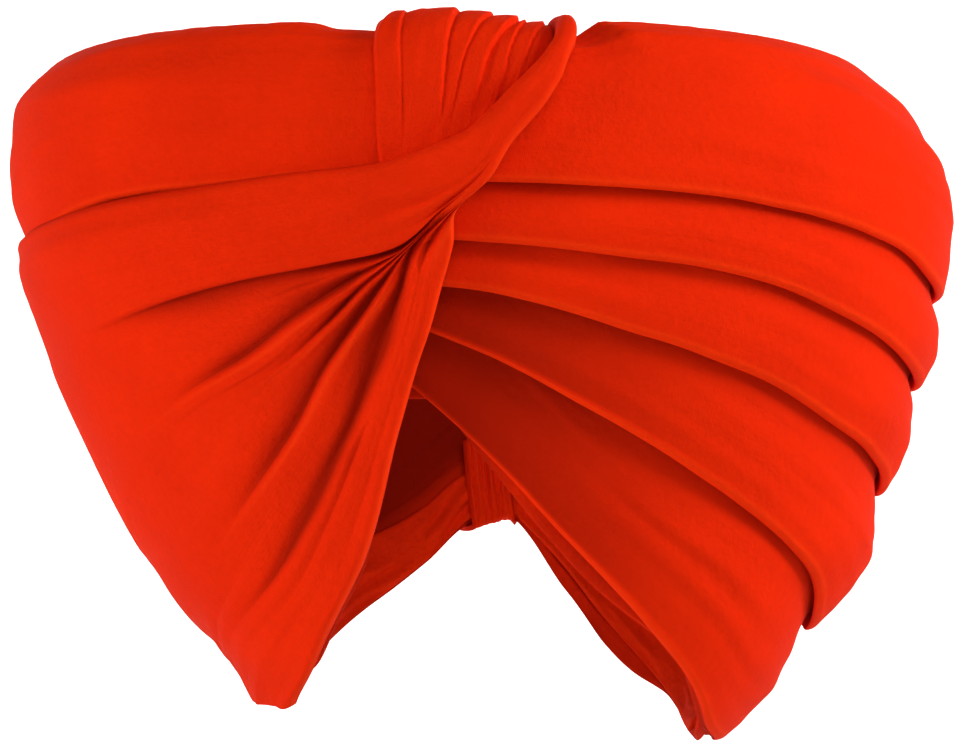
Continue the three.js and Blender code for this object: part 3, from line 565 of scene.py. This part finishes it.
def across_to_turn(x, at):
    """Angle from the brow of a place that lies x to the side."""
    width = HOLLOW_WIDTH / 2 * section("width", at) + SIDE_BUILD * section("side", at)
    return np.degrees(np.arcsin(np.clip((x - LEAN * section("lean", at)) / width, -1, 1)))


row = np.linspace(0, 10, 125)[:, None]
share = np.linspace(0, 1, 150)[None, :]
tuck_at, tuck_x = (
    curve(TUCK["row"], TUCK[left], row) * (1 - share) + curve(TUCK["row"], TUCK[right], row) * share
    for left, right in (("left_at", "right_at"), ("left", "right")))
tuck_x = TUCK_WIDTH * tuck_x
tuck_turn = across_to_turn(tuck_x, tuck_at)
gather = smooth(row, 1, 6)
pleat_lift = np.zeros(np.broadcast_shapes(row.shape, share.shape))
for low_hem, high_hem, low_top, high_top, rise in zip(
        PLEATS_HEM, PLEATS_HEM[1:], PLEATS_TOP, PLEATS_TOP[1:], PLEAT_RISE):
    low, high = low_hem + (low_top - low_hem) * gather, high_hem + (high_top - high_hem) * gather
    within = np.clip((share - low) / (high - low), 0, 1)
    crest = np.where(within < 0.88, np.clip(within / 0.88, 0, 1) ** 0.42,
                     np.cos(math.pi / 2 * np.clip((within - 0.88) / 0.12, 0, 1)) ** 0.6)
    inside = (share > low) & (share <= high)
    pleat_lift = np.where(inside, rise * crest, pleat_lift)
tuck_bulk = curve(TUCK["row"], TUCK["bulk"], row) * smooth(1 - share, 0, 0.1)
tuck_lift = DRAPE + TUCK_CLOTH + tuck_bulk * (PLEAT_BASE + pleat_lift)
tuck_lift = tuck_lift + 0.22 * drag(row * 12, share * 48 - row * 1.1, 5, 60, 3.6)
tuck_lift = tuck_lift - TUCK_EDGE * (1 - smooth(share, 0, 0.03 + 0.1 * smooth(row, 4, 7)))
tuck_lift = tuck_lift + 0.6 * smooth(row, 4, 6) * (1 - smooth(row, 7, 9))
tuck_outer = lifted(tuck_turn, tuck_at, tuck_lift)
tuck_inner = lifted(tuck_turn, tuck_at, np.full(tuck_lift.shape, DRAPE - 0.7))
tuck = cloth("brow_tuck_voile", np.concatenate([tuck_outer, tuck_inner[:, ::-1]], axis=1), False)
tuck_dye = voile("brow_tuck_voile", (0.88, 0.0240, 0.0010), (0.74, 0.0175, 0.0008), 1.2)
dress(tuck, "front_tuck", tuck_dye)


# ---------------------------------------------------------------------------------------------
# Gathered cloth. One broad end of the voile comes out of the crown as a pinched band, crosses
# the brow tuck, and fans out in knife pleats over the right side to the back.
# ---------------------------------------------------------------------------------------------

# Each line of the cloth at each station, as (degrees from the brow, place up the wall): its upper
# fold, the ridge that bounds the band, creases a to f, and its free edge
FAN_LINES = ("fold", "ridge", "a", "b", "c", "d", "e", "f", "free")
BAND = [  # the pinched band: upper fold, free edge
    ((22.5, 1.285), (29, 1.285)), ((21.5, 1.245), (28, 1.245)), ((19, 1.205), (24.5, 1.205)),
    ((16.6, 1.14), (20.6, 1.14)), ((14.8, 1.05), (18, 1.05)), ((12.6, 0.98), (15.3, 0.975)),
    ((10.2, 0.938), (12.8, 0.93)), ((6, 0.903), (8.8, 0.876)), ((1.8, 0.865), (4.0, 0.828)),
]
BAND_SHARES = (0, 0.72, 0.8, 0.85, 0.89, 0.92, 0.95, 0.975, 1)
FAN = [
    [(-2.2, 0.838), (-0.1, 0.798), (0.0, 0.79), (0.2, 0.789), (0.35, 0.788), (0.5, 0.787), (0.6, 0.787),
     (0.75, 0.787), (0.9, 0.787)],
    [(-11, 0.806), (-4.9, 0.767), (-4.9, 0.749), (-4.8, 0.747), (-4.7, 0.746), (-4.6, 0.745), (-4.5, 0.744),
     (-4.0, 0.745), (-3.3, 0.748)],
    [(-22, 0.793), (-10.5, 0.745), (-10.3, 0.703), (-10.7, 0.696), (-10.4, 0.694), (-9.9, 0.694),
     (-9.1, 0.699), (-6.9, 0.707), (-4.3, 0.704)],
    [(-33, 0.779), (-17, 0.723), (-18, 0.684), (-16.5, 0.661), (-15.5, 0.650), (-13.2, 0.653),
     (-11.2, 0.645), (-8.9, 0.655), (-6.2, 0.650)],
    [(-45, 0.765), (-31, 0.705), (-29.5, 0.662), (-24, 0.612), (-20, 0.605), (-16.5, 0.609),
     (-13.2, 0.600), (-10.6, 0.600), (-8.0, 0.596)],
    [(-62, 0.742), (-47, 0.680), (-45.5, 0.621), (-32, 0.558), (-26.5, 0.551), (-21, 0.549),
     (-15.3, 0.547), (-12.3, 0.552), (-9.8, 0.550)],
    [(-80, 0.725), (-67, 0.650), (-62, 0.572), (-46.5, 0.491), (-37.5, 0.487), (-28.5, 0.449),
     (-20.5, 0.452), (-16.4, 0.460), (-13.2, 0.463)],
    [(-105, 0.718), (-92, 0.620), (-84, 0.520), (-66, 0.400), (-54, 0.385), (-41.5, 0.340),
     (-29.3, 0.340), (-23.5, 0.340), (-19, 0.335)],
    [(-135, 0.718), (-122, 0.600), (-112, 0.470), (-96, 0.300), (-80, 0.265), (-60, 0.240),
     (-42, 0.245), (-33.5, 0.235), (-27, 0.240)],
    [(-160, 0.725), (-150, 0.600), (-140, 0.450), (-126, 0.250), (-110, 0.180), (-90, 0.140),
     (-66, 0.155), (-50, 0.145), (-41, 0.140)],
    [(-176, 0.736), (-176, 0.650), (-176, 0.550), (-175.5, 0.450), (-172, 0.340), (-128, 0.115),
     (-88, 0.077), (-68, 0.075), (-54, 0.077)],
]
PINCH = len(BAND)  # the station where the band opens into the fan
# Creases: line of the cloth, stations, depth at each in millimetres, reach above and below it
CREASES = [
    (2.0, (9.2, 9.7, 10.3, 11, 12, 13.5, 14.9), (0, 1.4, 3.8, 6.0, 5.6, 4.0, 0), 0.9, 12.0),
    (2.45, (10.4, 11.2, 12.4, 14.2), (0, 2.0, 2.6, 0), 6.0, 4.0),
    (3.0, (9.8, 10.2, 11, 12.5, 14, 15.3), (0, 2.4, 5.0, 5.4, 4.0, 0), 7.0, 1.9),
    (4.0, (9.8, 10.2, 11, 12.5, 13.6, 14.8), (0, 2.4, 4.8, 4.8, 3.0, 0), 6.5, 1.7),
    (5.0, (9.8, 10.2, 11, 13, 15, 16.5), (0, 2.6, 5.2, 6.0, 4.2, 0), 7.0, 1.7),
    (6.0, (9.6, 10.2, 11, 13, 15.5, 17.0, 18.0), (0, 3.0, 6.0, 6.4, 5.0, 2.8, 0), 5.5, 3.2),
    (7.0, (9.4, 10.0, 10.9, 12.0), (0, 3.6, 3.4, 0), 3.0, 1.8),
    (0.98, (8.6, 9.2, 10, 11.8), (0, 0.9, 1.4, 0), 3.0, 0.8),
    (1.42, (8.6, 9.2, 9.9, 11.0), (0, 1.2, 2.4, 0), 1.0, 2.0),
    (6.55, (14.4, 15.2, 16.4, 17.6), (0, 2.2, 1.8, 0), 4.0, 2.6),
    (5.5, (15.2, 16.0, 17.2, 18.4), (0, 1.0, 1.4, 0), 7.0, 6.0),
    (7.4, (15.0, 16.0, 17.2), (0, 1.1, 0), 3.0, 3.0),
]
FAN_CLOTH, FAN_SLACK = 3.0, 1.8  # thickness of the gathered cloth, and its slack off the turns
OVER_HEM, OVER_TUCK = 2.4, 3.2  # how far it rises to pass over the brow tuck's hem and pleats
BAND_BULK, FAN_ROLL = 3.0, 2.6  # what the pinched band and the broad roll add
FAN_EDGE, FAN_EDGE_ROUND = 2.4, 3.0  # how far the free edge rounds down, and over what breadth

rows = [[tuple(np.add(np.multiply(upper, 1 - share), np.multiply(free, share))) for share in BAND_SHARES]
        for upper, free in BAND] + FAN
lines = np.array(rows)  # stations x lines x (turn, at)
last = len(rows) - 1
station = np.concatenate([np.linspace(0, PINCH, 80)[:-1], np.linspace(PINCH, last, 225)])
line = np.linspace(0, len(FAN_LINES) - 1, 161)
station_numbers, line_numbers = np.arange(len(rows)), np.arange(len(FAN_LINES))
tracks = np.stack([[curve(station_numbers, lines[:, index, axis], station) for axis in (0, 1)]
                   for index in line_numbers])  # lines x axis x stations
fan_turn, fan_at = (np.stack([curve(line_numbers, tracks[:, axis, s], line) for s in range(len(station))])
                    for axis in (0, 1))
fan_floor = outside(fan_turn, fan_at)
breadth = arc(fan_floor, 1)
station, line = station[:, None], line[None, :]


def inside_tuck(turn, at):
    """How far inside the brow tuck's outline a place lies, in millimetres."""
    x = outside(turn, at)[..., 0]
    left, right = TUCK["left"][0], TUCK["right"][0]
    hem = np.clip((x / TUCK_WIDTH - left) / (right - left), 0, 1)
    above_hem = (at - (TUCK["left_at"][0] * (1 - hem) + TUCK["right_at"][0] * hem)) * HEIGHT
    to_right = curve(TUCK["right_at"], TUCK["right"], at) * TUCK_WIDTH - x
    to_left = x - curve(TUCK["left_at"], TUCK["left"], at) * TUCK_WIDTH
    return np.minimum(above_hem, np.minimum(to_left, to_right))


in_front = np.cos(np.radians(fan_turn)) > 0
covered = inside_tuck(fan_turn, fan_at)
over_roll = 1 - 0.75 * smooth(fan_at, 1.0, 1.12)
over_tuck = OVER_HEM * smooth(covered, -18, 2) + OVER_TUCK * smooth(covered, -2, 16)
clearance = DRAPE + in_front * over_roll * over_tuck
slack = curve((0, PINCH, PINCH + 5, last), (0.2, 0.2, 0.5, 1.0), station) * FAN_SLACK
bulk = curve((0, 3, 6, PINCH, PINCH + 1, PINCH + 3), (0, 0.1, 0.6, 1.0, 0.7, 0), station)
body = FAN_CLOTH + BAND_BULK * bulk - 1.2 * smooth(station, PINCH + 3, PINCH + 6)

# The broad roll above crease a, proud of the pleats below it, and the pleats' own fullness
ridge_breadth = np.stack([np.interp(2.0, line[0], row) for row in breadth])[:, None]
roll_share = np.clip(breadth / np.maximum(ridge_breadth, 1e-6), 0, 1)
roll = FAN_ROLL * np.sqrt(1 - (1 - np.clip(roll_share / 0.62, 0, 1)) ** 2) * smooth(station, 0, 3)
roll = roll * np.exp(-(np.maximum(breadth - ridge_breadth, 0) / 9) ** 1.2)
roll = roll * (1 - 0.85 * smooth(station, PINCH + 3, PINCH + 7))
full_stations = (0, PINCH - 1, PINCH + 1, PINCH + 3, PINCH + 4.5, PINCH + 7, last)
full = curve(full_stations, (0, 0, 0.8, 2.6, 3.2, 1.2, 0.2), station)
fan_lift = clearance + slack + body + roll + full * smooth(breadth, 6, 20)
# A crease dents the cloth on both sides of its line; a painted highlight is laid along its lower lip
dent, crest = np.zeros_like(fan_lift), np.zeros_like(fan_lift)
for at_line, stations, depths, above, below in CREASES:
    before, middle, after = (np.stack([np.interp(number, line[0], row) for row in breadth])[:, None]
                             for number in (at_line - 0.8, at_line, at_line + 0.8))
    away = breadth - middle
    reach_up = np.minimum(above, 0.6 * (middle - before))
    reach_down = np.minimum(below, 0.6 * (after - middle))
    depth = np.interp(station, stations, depths)
    depth = depth * (1.0 + 0.12 * np.sin(station * 2.1 + at_line * 5))
    reach = np.where(away < 0, reach_up, reach_down)
    edge_light = np.exp(-((away - 1.8 * reach_down) / 0.9) ** 2) * (reach_down < 2.5)
    crest = np.maximum(crest, depth / 9 * edge_light)
    dent = np.maximum(dent, depth * np.exp(-(np.abs(away) / np.maximum(reach, 0.3)) ** 0.95))
fan_lift = fan_lift - dent
opened = smooth(station, PINCH + 2, PINCH + 6)
pulled = drag(station * 30, line * 15, 21, 160, 13)
fan_lift = fan_lift + (0.5 + 0.4 * smooth(station, 14, 17)) * opened * pulled
pinched = 0.12 + 0.4 * smooth(station, PINCH - 4, PINCH + 1) * (1 - smooth(station, PINCH + 3, PINCH + 7))
spacing = np.clip(np.gradient(breadth, axis=1) / (line[0, 1] - line[0, 0]) / 9, 0, 1)
fan_lift = fan_lift + pinched * spacing * drag(station * 26, line * 9, 22, 90, 2.6)
thin = (1 - smooth(breadth, 0, 15)) * smooth(station, PINCH + 3, PINCH + 6)
fan_lift = fan_lift - (fan_lift - clearance - 2.2) * thin
fan_lift = np.maximum(fan_lift, clearance + slack * 0.3 + 0.6)
upper_round = np.sqrt(1 - (1 - np.clip(breadth / 4.5, 0, 1)) ** 2)
tucked_in = smooth(station, PINCH - 3, PINCH) * 0.75 + 0.25
fan_lift = fan_lift - (fan_lift - 0.6) * (1 - upper_round) * tucked_in
from_free = breadth[:, -1:] - breadth
edge_round = np.sqrt(1 - (1 - np.clip(from_free / FAN_EDGE_ROUND, 0, 1)) ** 2)
fan_lift = fan_lift - FAN_EDGE * (1 - edge_round)
fan_outer = lifted(fan_turn, fan_at, fan_lift)
under_lift = np.minimum(clearance + slack * 0.5 - 0.6, fan_lift - 0.5)
fan_inner = lifted(fan_turn, fan_at, under_lift)
# Painted light: a painted highlight along the free edge and the creases' lower lips, painted shade in the
# creases (less at the gather) and along the upper fold next to the turns
at_gather = smooth(station, 8.4, 9.2) * (1 - smooth(station, 9.9, 10.6))
crease_painted_shade = smooth(dent, 1.0, 4.4) * (1 - 0.6 * at_gather)
fan_painted_shading = 0.6 * np.exp(-(from_free / 1.0) ** 2) + crest - 1.05 * crease_painted_shade
fan_painted_shading = fan_painted_shading - 0.5 * np.exp(-breadth / 1.5) * smooth(station, PINCH, PINCH + 2)
fan_painted_shading = np.concatenate([fan_painted_shading, 0 * fan_painted_shading], axis=1)
fan = cloth("fan_voile", np.concatenate([fan_outer, fan_inner[:, ::-1]], axis=1), False, fan_painted_shading)
fan_dye = voile("fan_voile", (0.90, 0.0250, 0.0012), (0.78, 0.0190, 0.0008), 1.0)
dress(fan, "fan_wrap", fan_dye)


# ---------------------------------------------------------------------------------------------
# Nape band. A loose inner layer that was pushed up inside the back of the opening; it lies in
# crumpled level folds against the inner wrap.
# ---------------------------------------------------------------------------------------------

BAND_FROM, BAND_HEIGHT = 95.0, 23.0  # degrees from the brow where it starts, and its breadth
BAND_GAP, BAND_CLOTH = 0.9, 3.4  # air behind it, and its thickness
nape_turn = np.linspace(BAND_FROM, 360 - BAND_FROM, 200)
nape_turn = np.where(nape_turn > 180, nape_turn - 360, nape_turn)[:, None]
nape_up = np.linspace(0, 1, 50)[None, :]
from_nape = (180 - np.abs(nape_turn)) / (180 - BAND_FROM)
nape_high = BAND_HEIGHT * (0.66 + 0.4 * smooth(from_nape, 0.1, 0.7))
nape_raised = TIP_DRAWN_UP * (1 - smooth(np.where(nape_turn > 0, nape_turn, 180), 112, 140))
nape_at = edge_at("turn_1", nape_turn) + (LINER_PEEK + nape_raised + nape_up * nape_high) / HEIGHT
creep = drag(nape_turn * 1.7, nape_up * nape_high + 4 * np.sin(np.radians(nape_turn * 4)), 8, 60, 6)
puffed = np.sin(math.pi * nape_up) ** 0.35
nape_depth = BAND_GAP + 0.8 + puffed * (2.2 + 2.1 * creep)
nape_inner = inset(nape_turn, nape_at, np.maximum(nape_depth, BAND_GAP + 0.7))
nape_outer = inset(nape_turn, nape_at, np.full(nape_at.shape, BAND_GAP))
nape = cloth("nape_band_voile", np.concatenate([nape_inner, nape_outer[:, ::-1]], axis=1), False)
# Its colour is paler than the other voile pieces': painted light for the inside of the hollow
nape_lit_voile = voile("nape_band_voile", (0.95, 0.0300, 0.0016), (0.70, 0.0170, 0.0009), 1.6)
dress(nape, "nape_band", nape_lit_voile)


# ---------------------------------------------------------------------------------------------
# Nape tuck. The other end of the wrap: a pleated strip that leaves the crown at the back, runs
# down over the turns, goes under the rim and is pushed up inside.
# ---------------------------------------------------------------------------------------------

STRIP_WIDTH = 52.0
# Half its breadth, a share of STRIP_WIDTH, at places up the wall
STRIP_AT = (0.345, 0.39, 0.46, 0.58, 0.7, 0.76, 0.83, 0.909, 0.96, 1.03, 1.1, 1.17, 1.285)
STRIP_HALF = (0.23, 0.25, 0.29, 0.34, 0.39, 0.42, 0.44, 0.46, 0.48, 0.49, 0.5, 0.5, 0.5)
STRIP_INSIDE = 28.0  # how far its end is pushed up inside
RIM_AT, FAN_END_AT = 0.345, 0.736  # places of the rim at the nape, and of the gathered cloth's end
# Where its pleats meet, shares of its breadth, and how far each stands up
STRIP_PLEATS = (0, 0.10, 0.27, 0.36, 0.56, 0.68, 0.88, 1)
STRIP_RISE = (1.2, 2.4, 1.5, 2.8, 1.7, 2.5, 1.4)
STRIP_SEAT = 1.1 + BAND_CLOTH + DRAPE  # how far inside the hollow it lies, over the nape band
STRIP_CLOTH, STRIP_EDGE = 1.5, 1.4  # thickness between the pleats, and how far its side edges round down
strip_share = np.linspace(0, 1, 96)


def strip_turn(at, share):
    """Angle of a place across the strip, at the back."""
    half = STRIP_WIDTH * curve(STRIP_AT, STRIP_HALF, at)
    across = across_to_turn((1 - 2 * share) * half, at)
    return np.where(across > 0, 180 - across, -180 - across)


def strip_clearance(turn, at):
    """Air under the strip, where it passes over the end of the gathered cloth."""
    away = 180 - np.abs(turn)
    beside = np.where(turn < 0, 1 - smooth(away, 0, 8), 1 - smooth(away, 0, 4))
    clear = smooth(np.maximum((at - FAN_END_AT) * HEIGHT * 0.6, (0.34 - at) * HEIGHT), 8, 16)
    return DRAPE + (DRAPE + FAN_CLOTH + FAN_SLACK + 2.0) * beside * (1 - clear)


strip_crest = np.zeros_like(strip_share)
for low, high, rise in zip(STRIP_PLEATS, STRIP_PLEATS[1:], STRIP_RISE):
    within = np.clip((strip_share - low) / (high - low), 0, 1)
    ridge = rise * np.sin(math.pi * within) ** 0.8 * ((within > 0) & (within < 1))
    strip_crest = np.maximum(strip_crest, ridge)
strip_rim = strip_turn(RIM_AT, strip_share)
strip_foot = edge_at("turn_1", strip_rim)
strip_below = HEIGHT * strip_foot - LINER_PEEK - DRAPE


def strip_row(kind, value, lift):
    """One row across the strip: inside the nape, round the rim, or up the back."""
    if kind == "inside":
        at = strip_foot + value * STRIP_INSIDE / HEIGHT
        return inset(strip_rim, at, STRIP_SEAT + lift)
    if kind == "rim":
        near = inset(strip_rim, strip_foot, STRIP_SEAT + lift)
        far = lifted(strip_rim, strip_foot, strip_clearance(strip_rim, strip_foot) + lift)
        middle, half = (near + far) / 2, (far - near) / 2
        drop = strip_below - lift * 0.8
        place = middle + half * -np.cos(value * math.pi)
        round_in = np.sin(value * math.pi) ** 0.5
        place[:, 2] = near[:, 2] * (1 - round_in) + drop * round_in
        return place
    turn = strip_turn(value, strip_share)
    return lifted(turn, value, strip_clearance(turn, value) + lift)


strip_rows = [("inside", value) for value in np.linspace(1, 0.05, 20)]
strip_rows += [("rim", value) for value in np.linspace(0.02, 0.98, 20)]
strip_rows += [("back", value) for value in np.linspace(0.335, LIP, 140)]
strip_out, strip_in = [], []
strip_hem = STRIP_EDGE * (1 - smooth(np.minimum(strip_share, 1 - strip_share), 0, 0.03))
for number, (kind, value) in enumerate(strip_rows):
    crumple = 0.5 * drag(np.full_like(strip_share, number * 2.4), strip_share * 50, 14, 70, 5)
    pleated = 0.35 + {"inside": 0.5 * value, "rim": 0, "back": 0.65 * float(smooth(value, 0.34, 0.5))}[kind]
    strip_out.append(strip_row(kind, value, STRIP_CLOTH + strip_crest * pleated + crumple - strip_hem))
    strip_in.append(strip_row(kind, value, np.full_like(strip_share, -0.5)))
strip_loops = np.concatenate([np.stack(strip_out), np.stack(strip_in)[:, ::-1]], axis=1)
nape_strip = cloth("nape_tuck_voile", strip_loops, False)
strip_dye = voile("nape_tuck_voile", (0.92, 0.0270, 0.0014), (0.76, 0.0190, 0.0009), 1.2)
dress(nape_strip, "back_tuck", strip_dye)


# ---------------------------------------------------------------------------------------------
# Studio: a pale floor that sweeps up into the backdrop, soft lights and the camera.
# ---------------------------------------------------------------------------------------------

FLOOR_LEVEL, FLOOR_REACH, COVE = -0.7, 3.4, 2.6  # metres; the paper curves up all round
cove_angle = np.linspace(0.05, math.pi / 2, 20)
spread = np.concatenate([np.linspace(0.02, FLOOR_REACH, 12), FLOOR_REACH + COVE * np.sin(cove_angle),
                         np.full(3, FLOOR_REACH + COVE)])[:, None]
height = np.concatenate([np.zeros(12), COVE * (1 - np.cos(cove_angle)),
                         COVE + np.linspace(0.5, 2.0, 3)])[:, None]
round_floor = np.radians(np.linspace(0, 360, 96, endpoint=False))[None, :]
floor_places = np.stack([spread * np.sin(round_floor), spread * np.cos(round_floor),
                         FLOOR_LEVEL + height + 0 * round_floor], axis=-1)
rings, spokes = floor_places.shape[:2]
floor_faces = [(ring + spot, ring + following, ring + spokes + following, ring + spokes + spot)
               for ring in range(0, (rings - 1) * spokes, spokes)
               for spot, following in zip(range(spokes), [*range(1, spokes), 0])]
floor_faces.append(tuple(reversed(range(spokes))))
floor_mesh = bpy.data.meshes.new("floor")
floor_mesh.from_pydata(floor_places.reshape(-1, 3).tolist(), [], floor_faces)
floor_mesh.polygons.foreach_set("use_smooth", np.ones(len(floor_faces), bool))
floor = bpy.data.objects.new("floor", floor_mesh)
bpy.context.scene.collection.objects.link(floor)
paper = Dye("backdrop_paper")
grain = paper.node("TexNoise", {}, {"Scale": 60.0, "Detail": 2.0})["Fac"]
tone = paper.mix(grain, (0.90, 0.90, 0.89), (0.92, 0.92, 0.91))
matt = paper.node("BsdfPrincipled", {}, {"Base Color": tone, "Roughness": 0.95, "Specular IOR Level": 0.1})
paper.node("OutputMaterial", {}, {"Surface": matt["BSDF"]})
floor.data.materials.append(paper.material)

LAMPS = [  # name, place, size, watts, aim; the small one stands for light that falls inside
    ("right_side", (1.65, -0.50, 0.70), 0.7, 26.5, (0, 0, -0.08)),
    ("left_side", (-1.66, -0.80, 0.02), 0.7, 16.2, (0, 0, -0.09)),
    ("front_top", (0.60, -1.15, 1.65), 0.7, 9.5, (0, 0, -0.08)),
    ("camera_side", (0.05, -2.2, -0.35), 0.5, 3.0, (0, 0, -0.08)),
    ("inside", (0.01, 0.00, -0.075), 0.05, 0.036, (0, 0.095, -0.165)),
    ("backdrop", (0, 2.6, 2.4), 2.4, 230.0, (0, 5.6, 0.0)),
]
for name, place, size, power, aim in LAMPS:
    lamp = bpy.data.lights.new(name, "AREA")
    lamp.size, lamp.energy, lamp.color = size, power, (1.0, 0.985, 0.965)
    holder = bpy.data.objects.new(name, lamp)
    toward = np.subtract(aim, place)
    holder.location = place
    yaw = math.atan2(toward[1], toward[0])
    pitch = math.atan2(-toward[2], math.hypot(toward[0], toward[1]))
    holder.rotation_euler = (math.pi / 2 - pitch, 0, yaw - math.pi / 2)
    bpy.context.scene.collection.objects.link(holder)

world = bpy.data.worlds.new("studio")
world.use_nodes = True
world.node_tree.nodes["Background"].inputs["Color"].default_value = (1.0, 1.0, 1.0, 1.0)
world.node_tree.nodes["Background"].inputs["Strength"].default_value = 0.04
bpy.context.scene.world = world

lens = bpy.data.cameras.new("photo_camera")
lens.lens, lens.sensor_width = 140.5, 36.0
camera = bpy.data.objects.new("photo_camera", lens)
camera.location = (0, -1.2, -0.0957)
camera.rotation_euler = (math.pi / 2, 0, 0)
bpy.context.scene.collection.objects.link(camera)
bpy.context.scene.camera = camera
bpy.context.scene.view_settings.view_transform = "Standard"
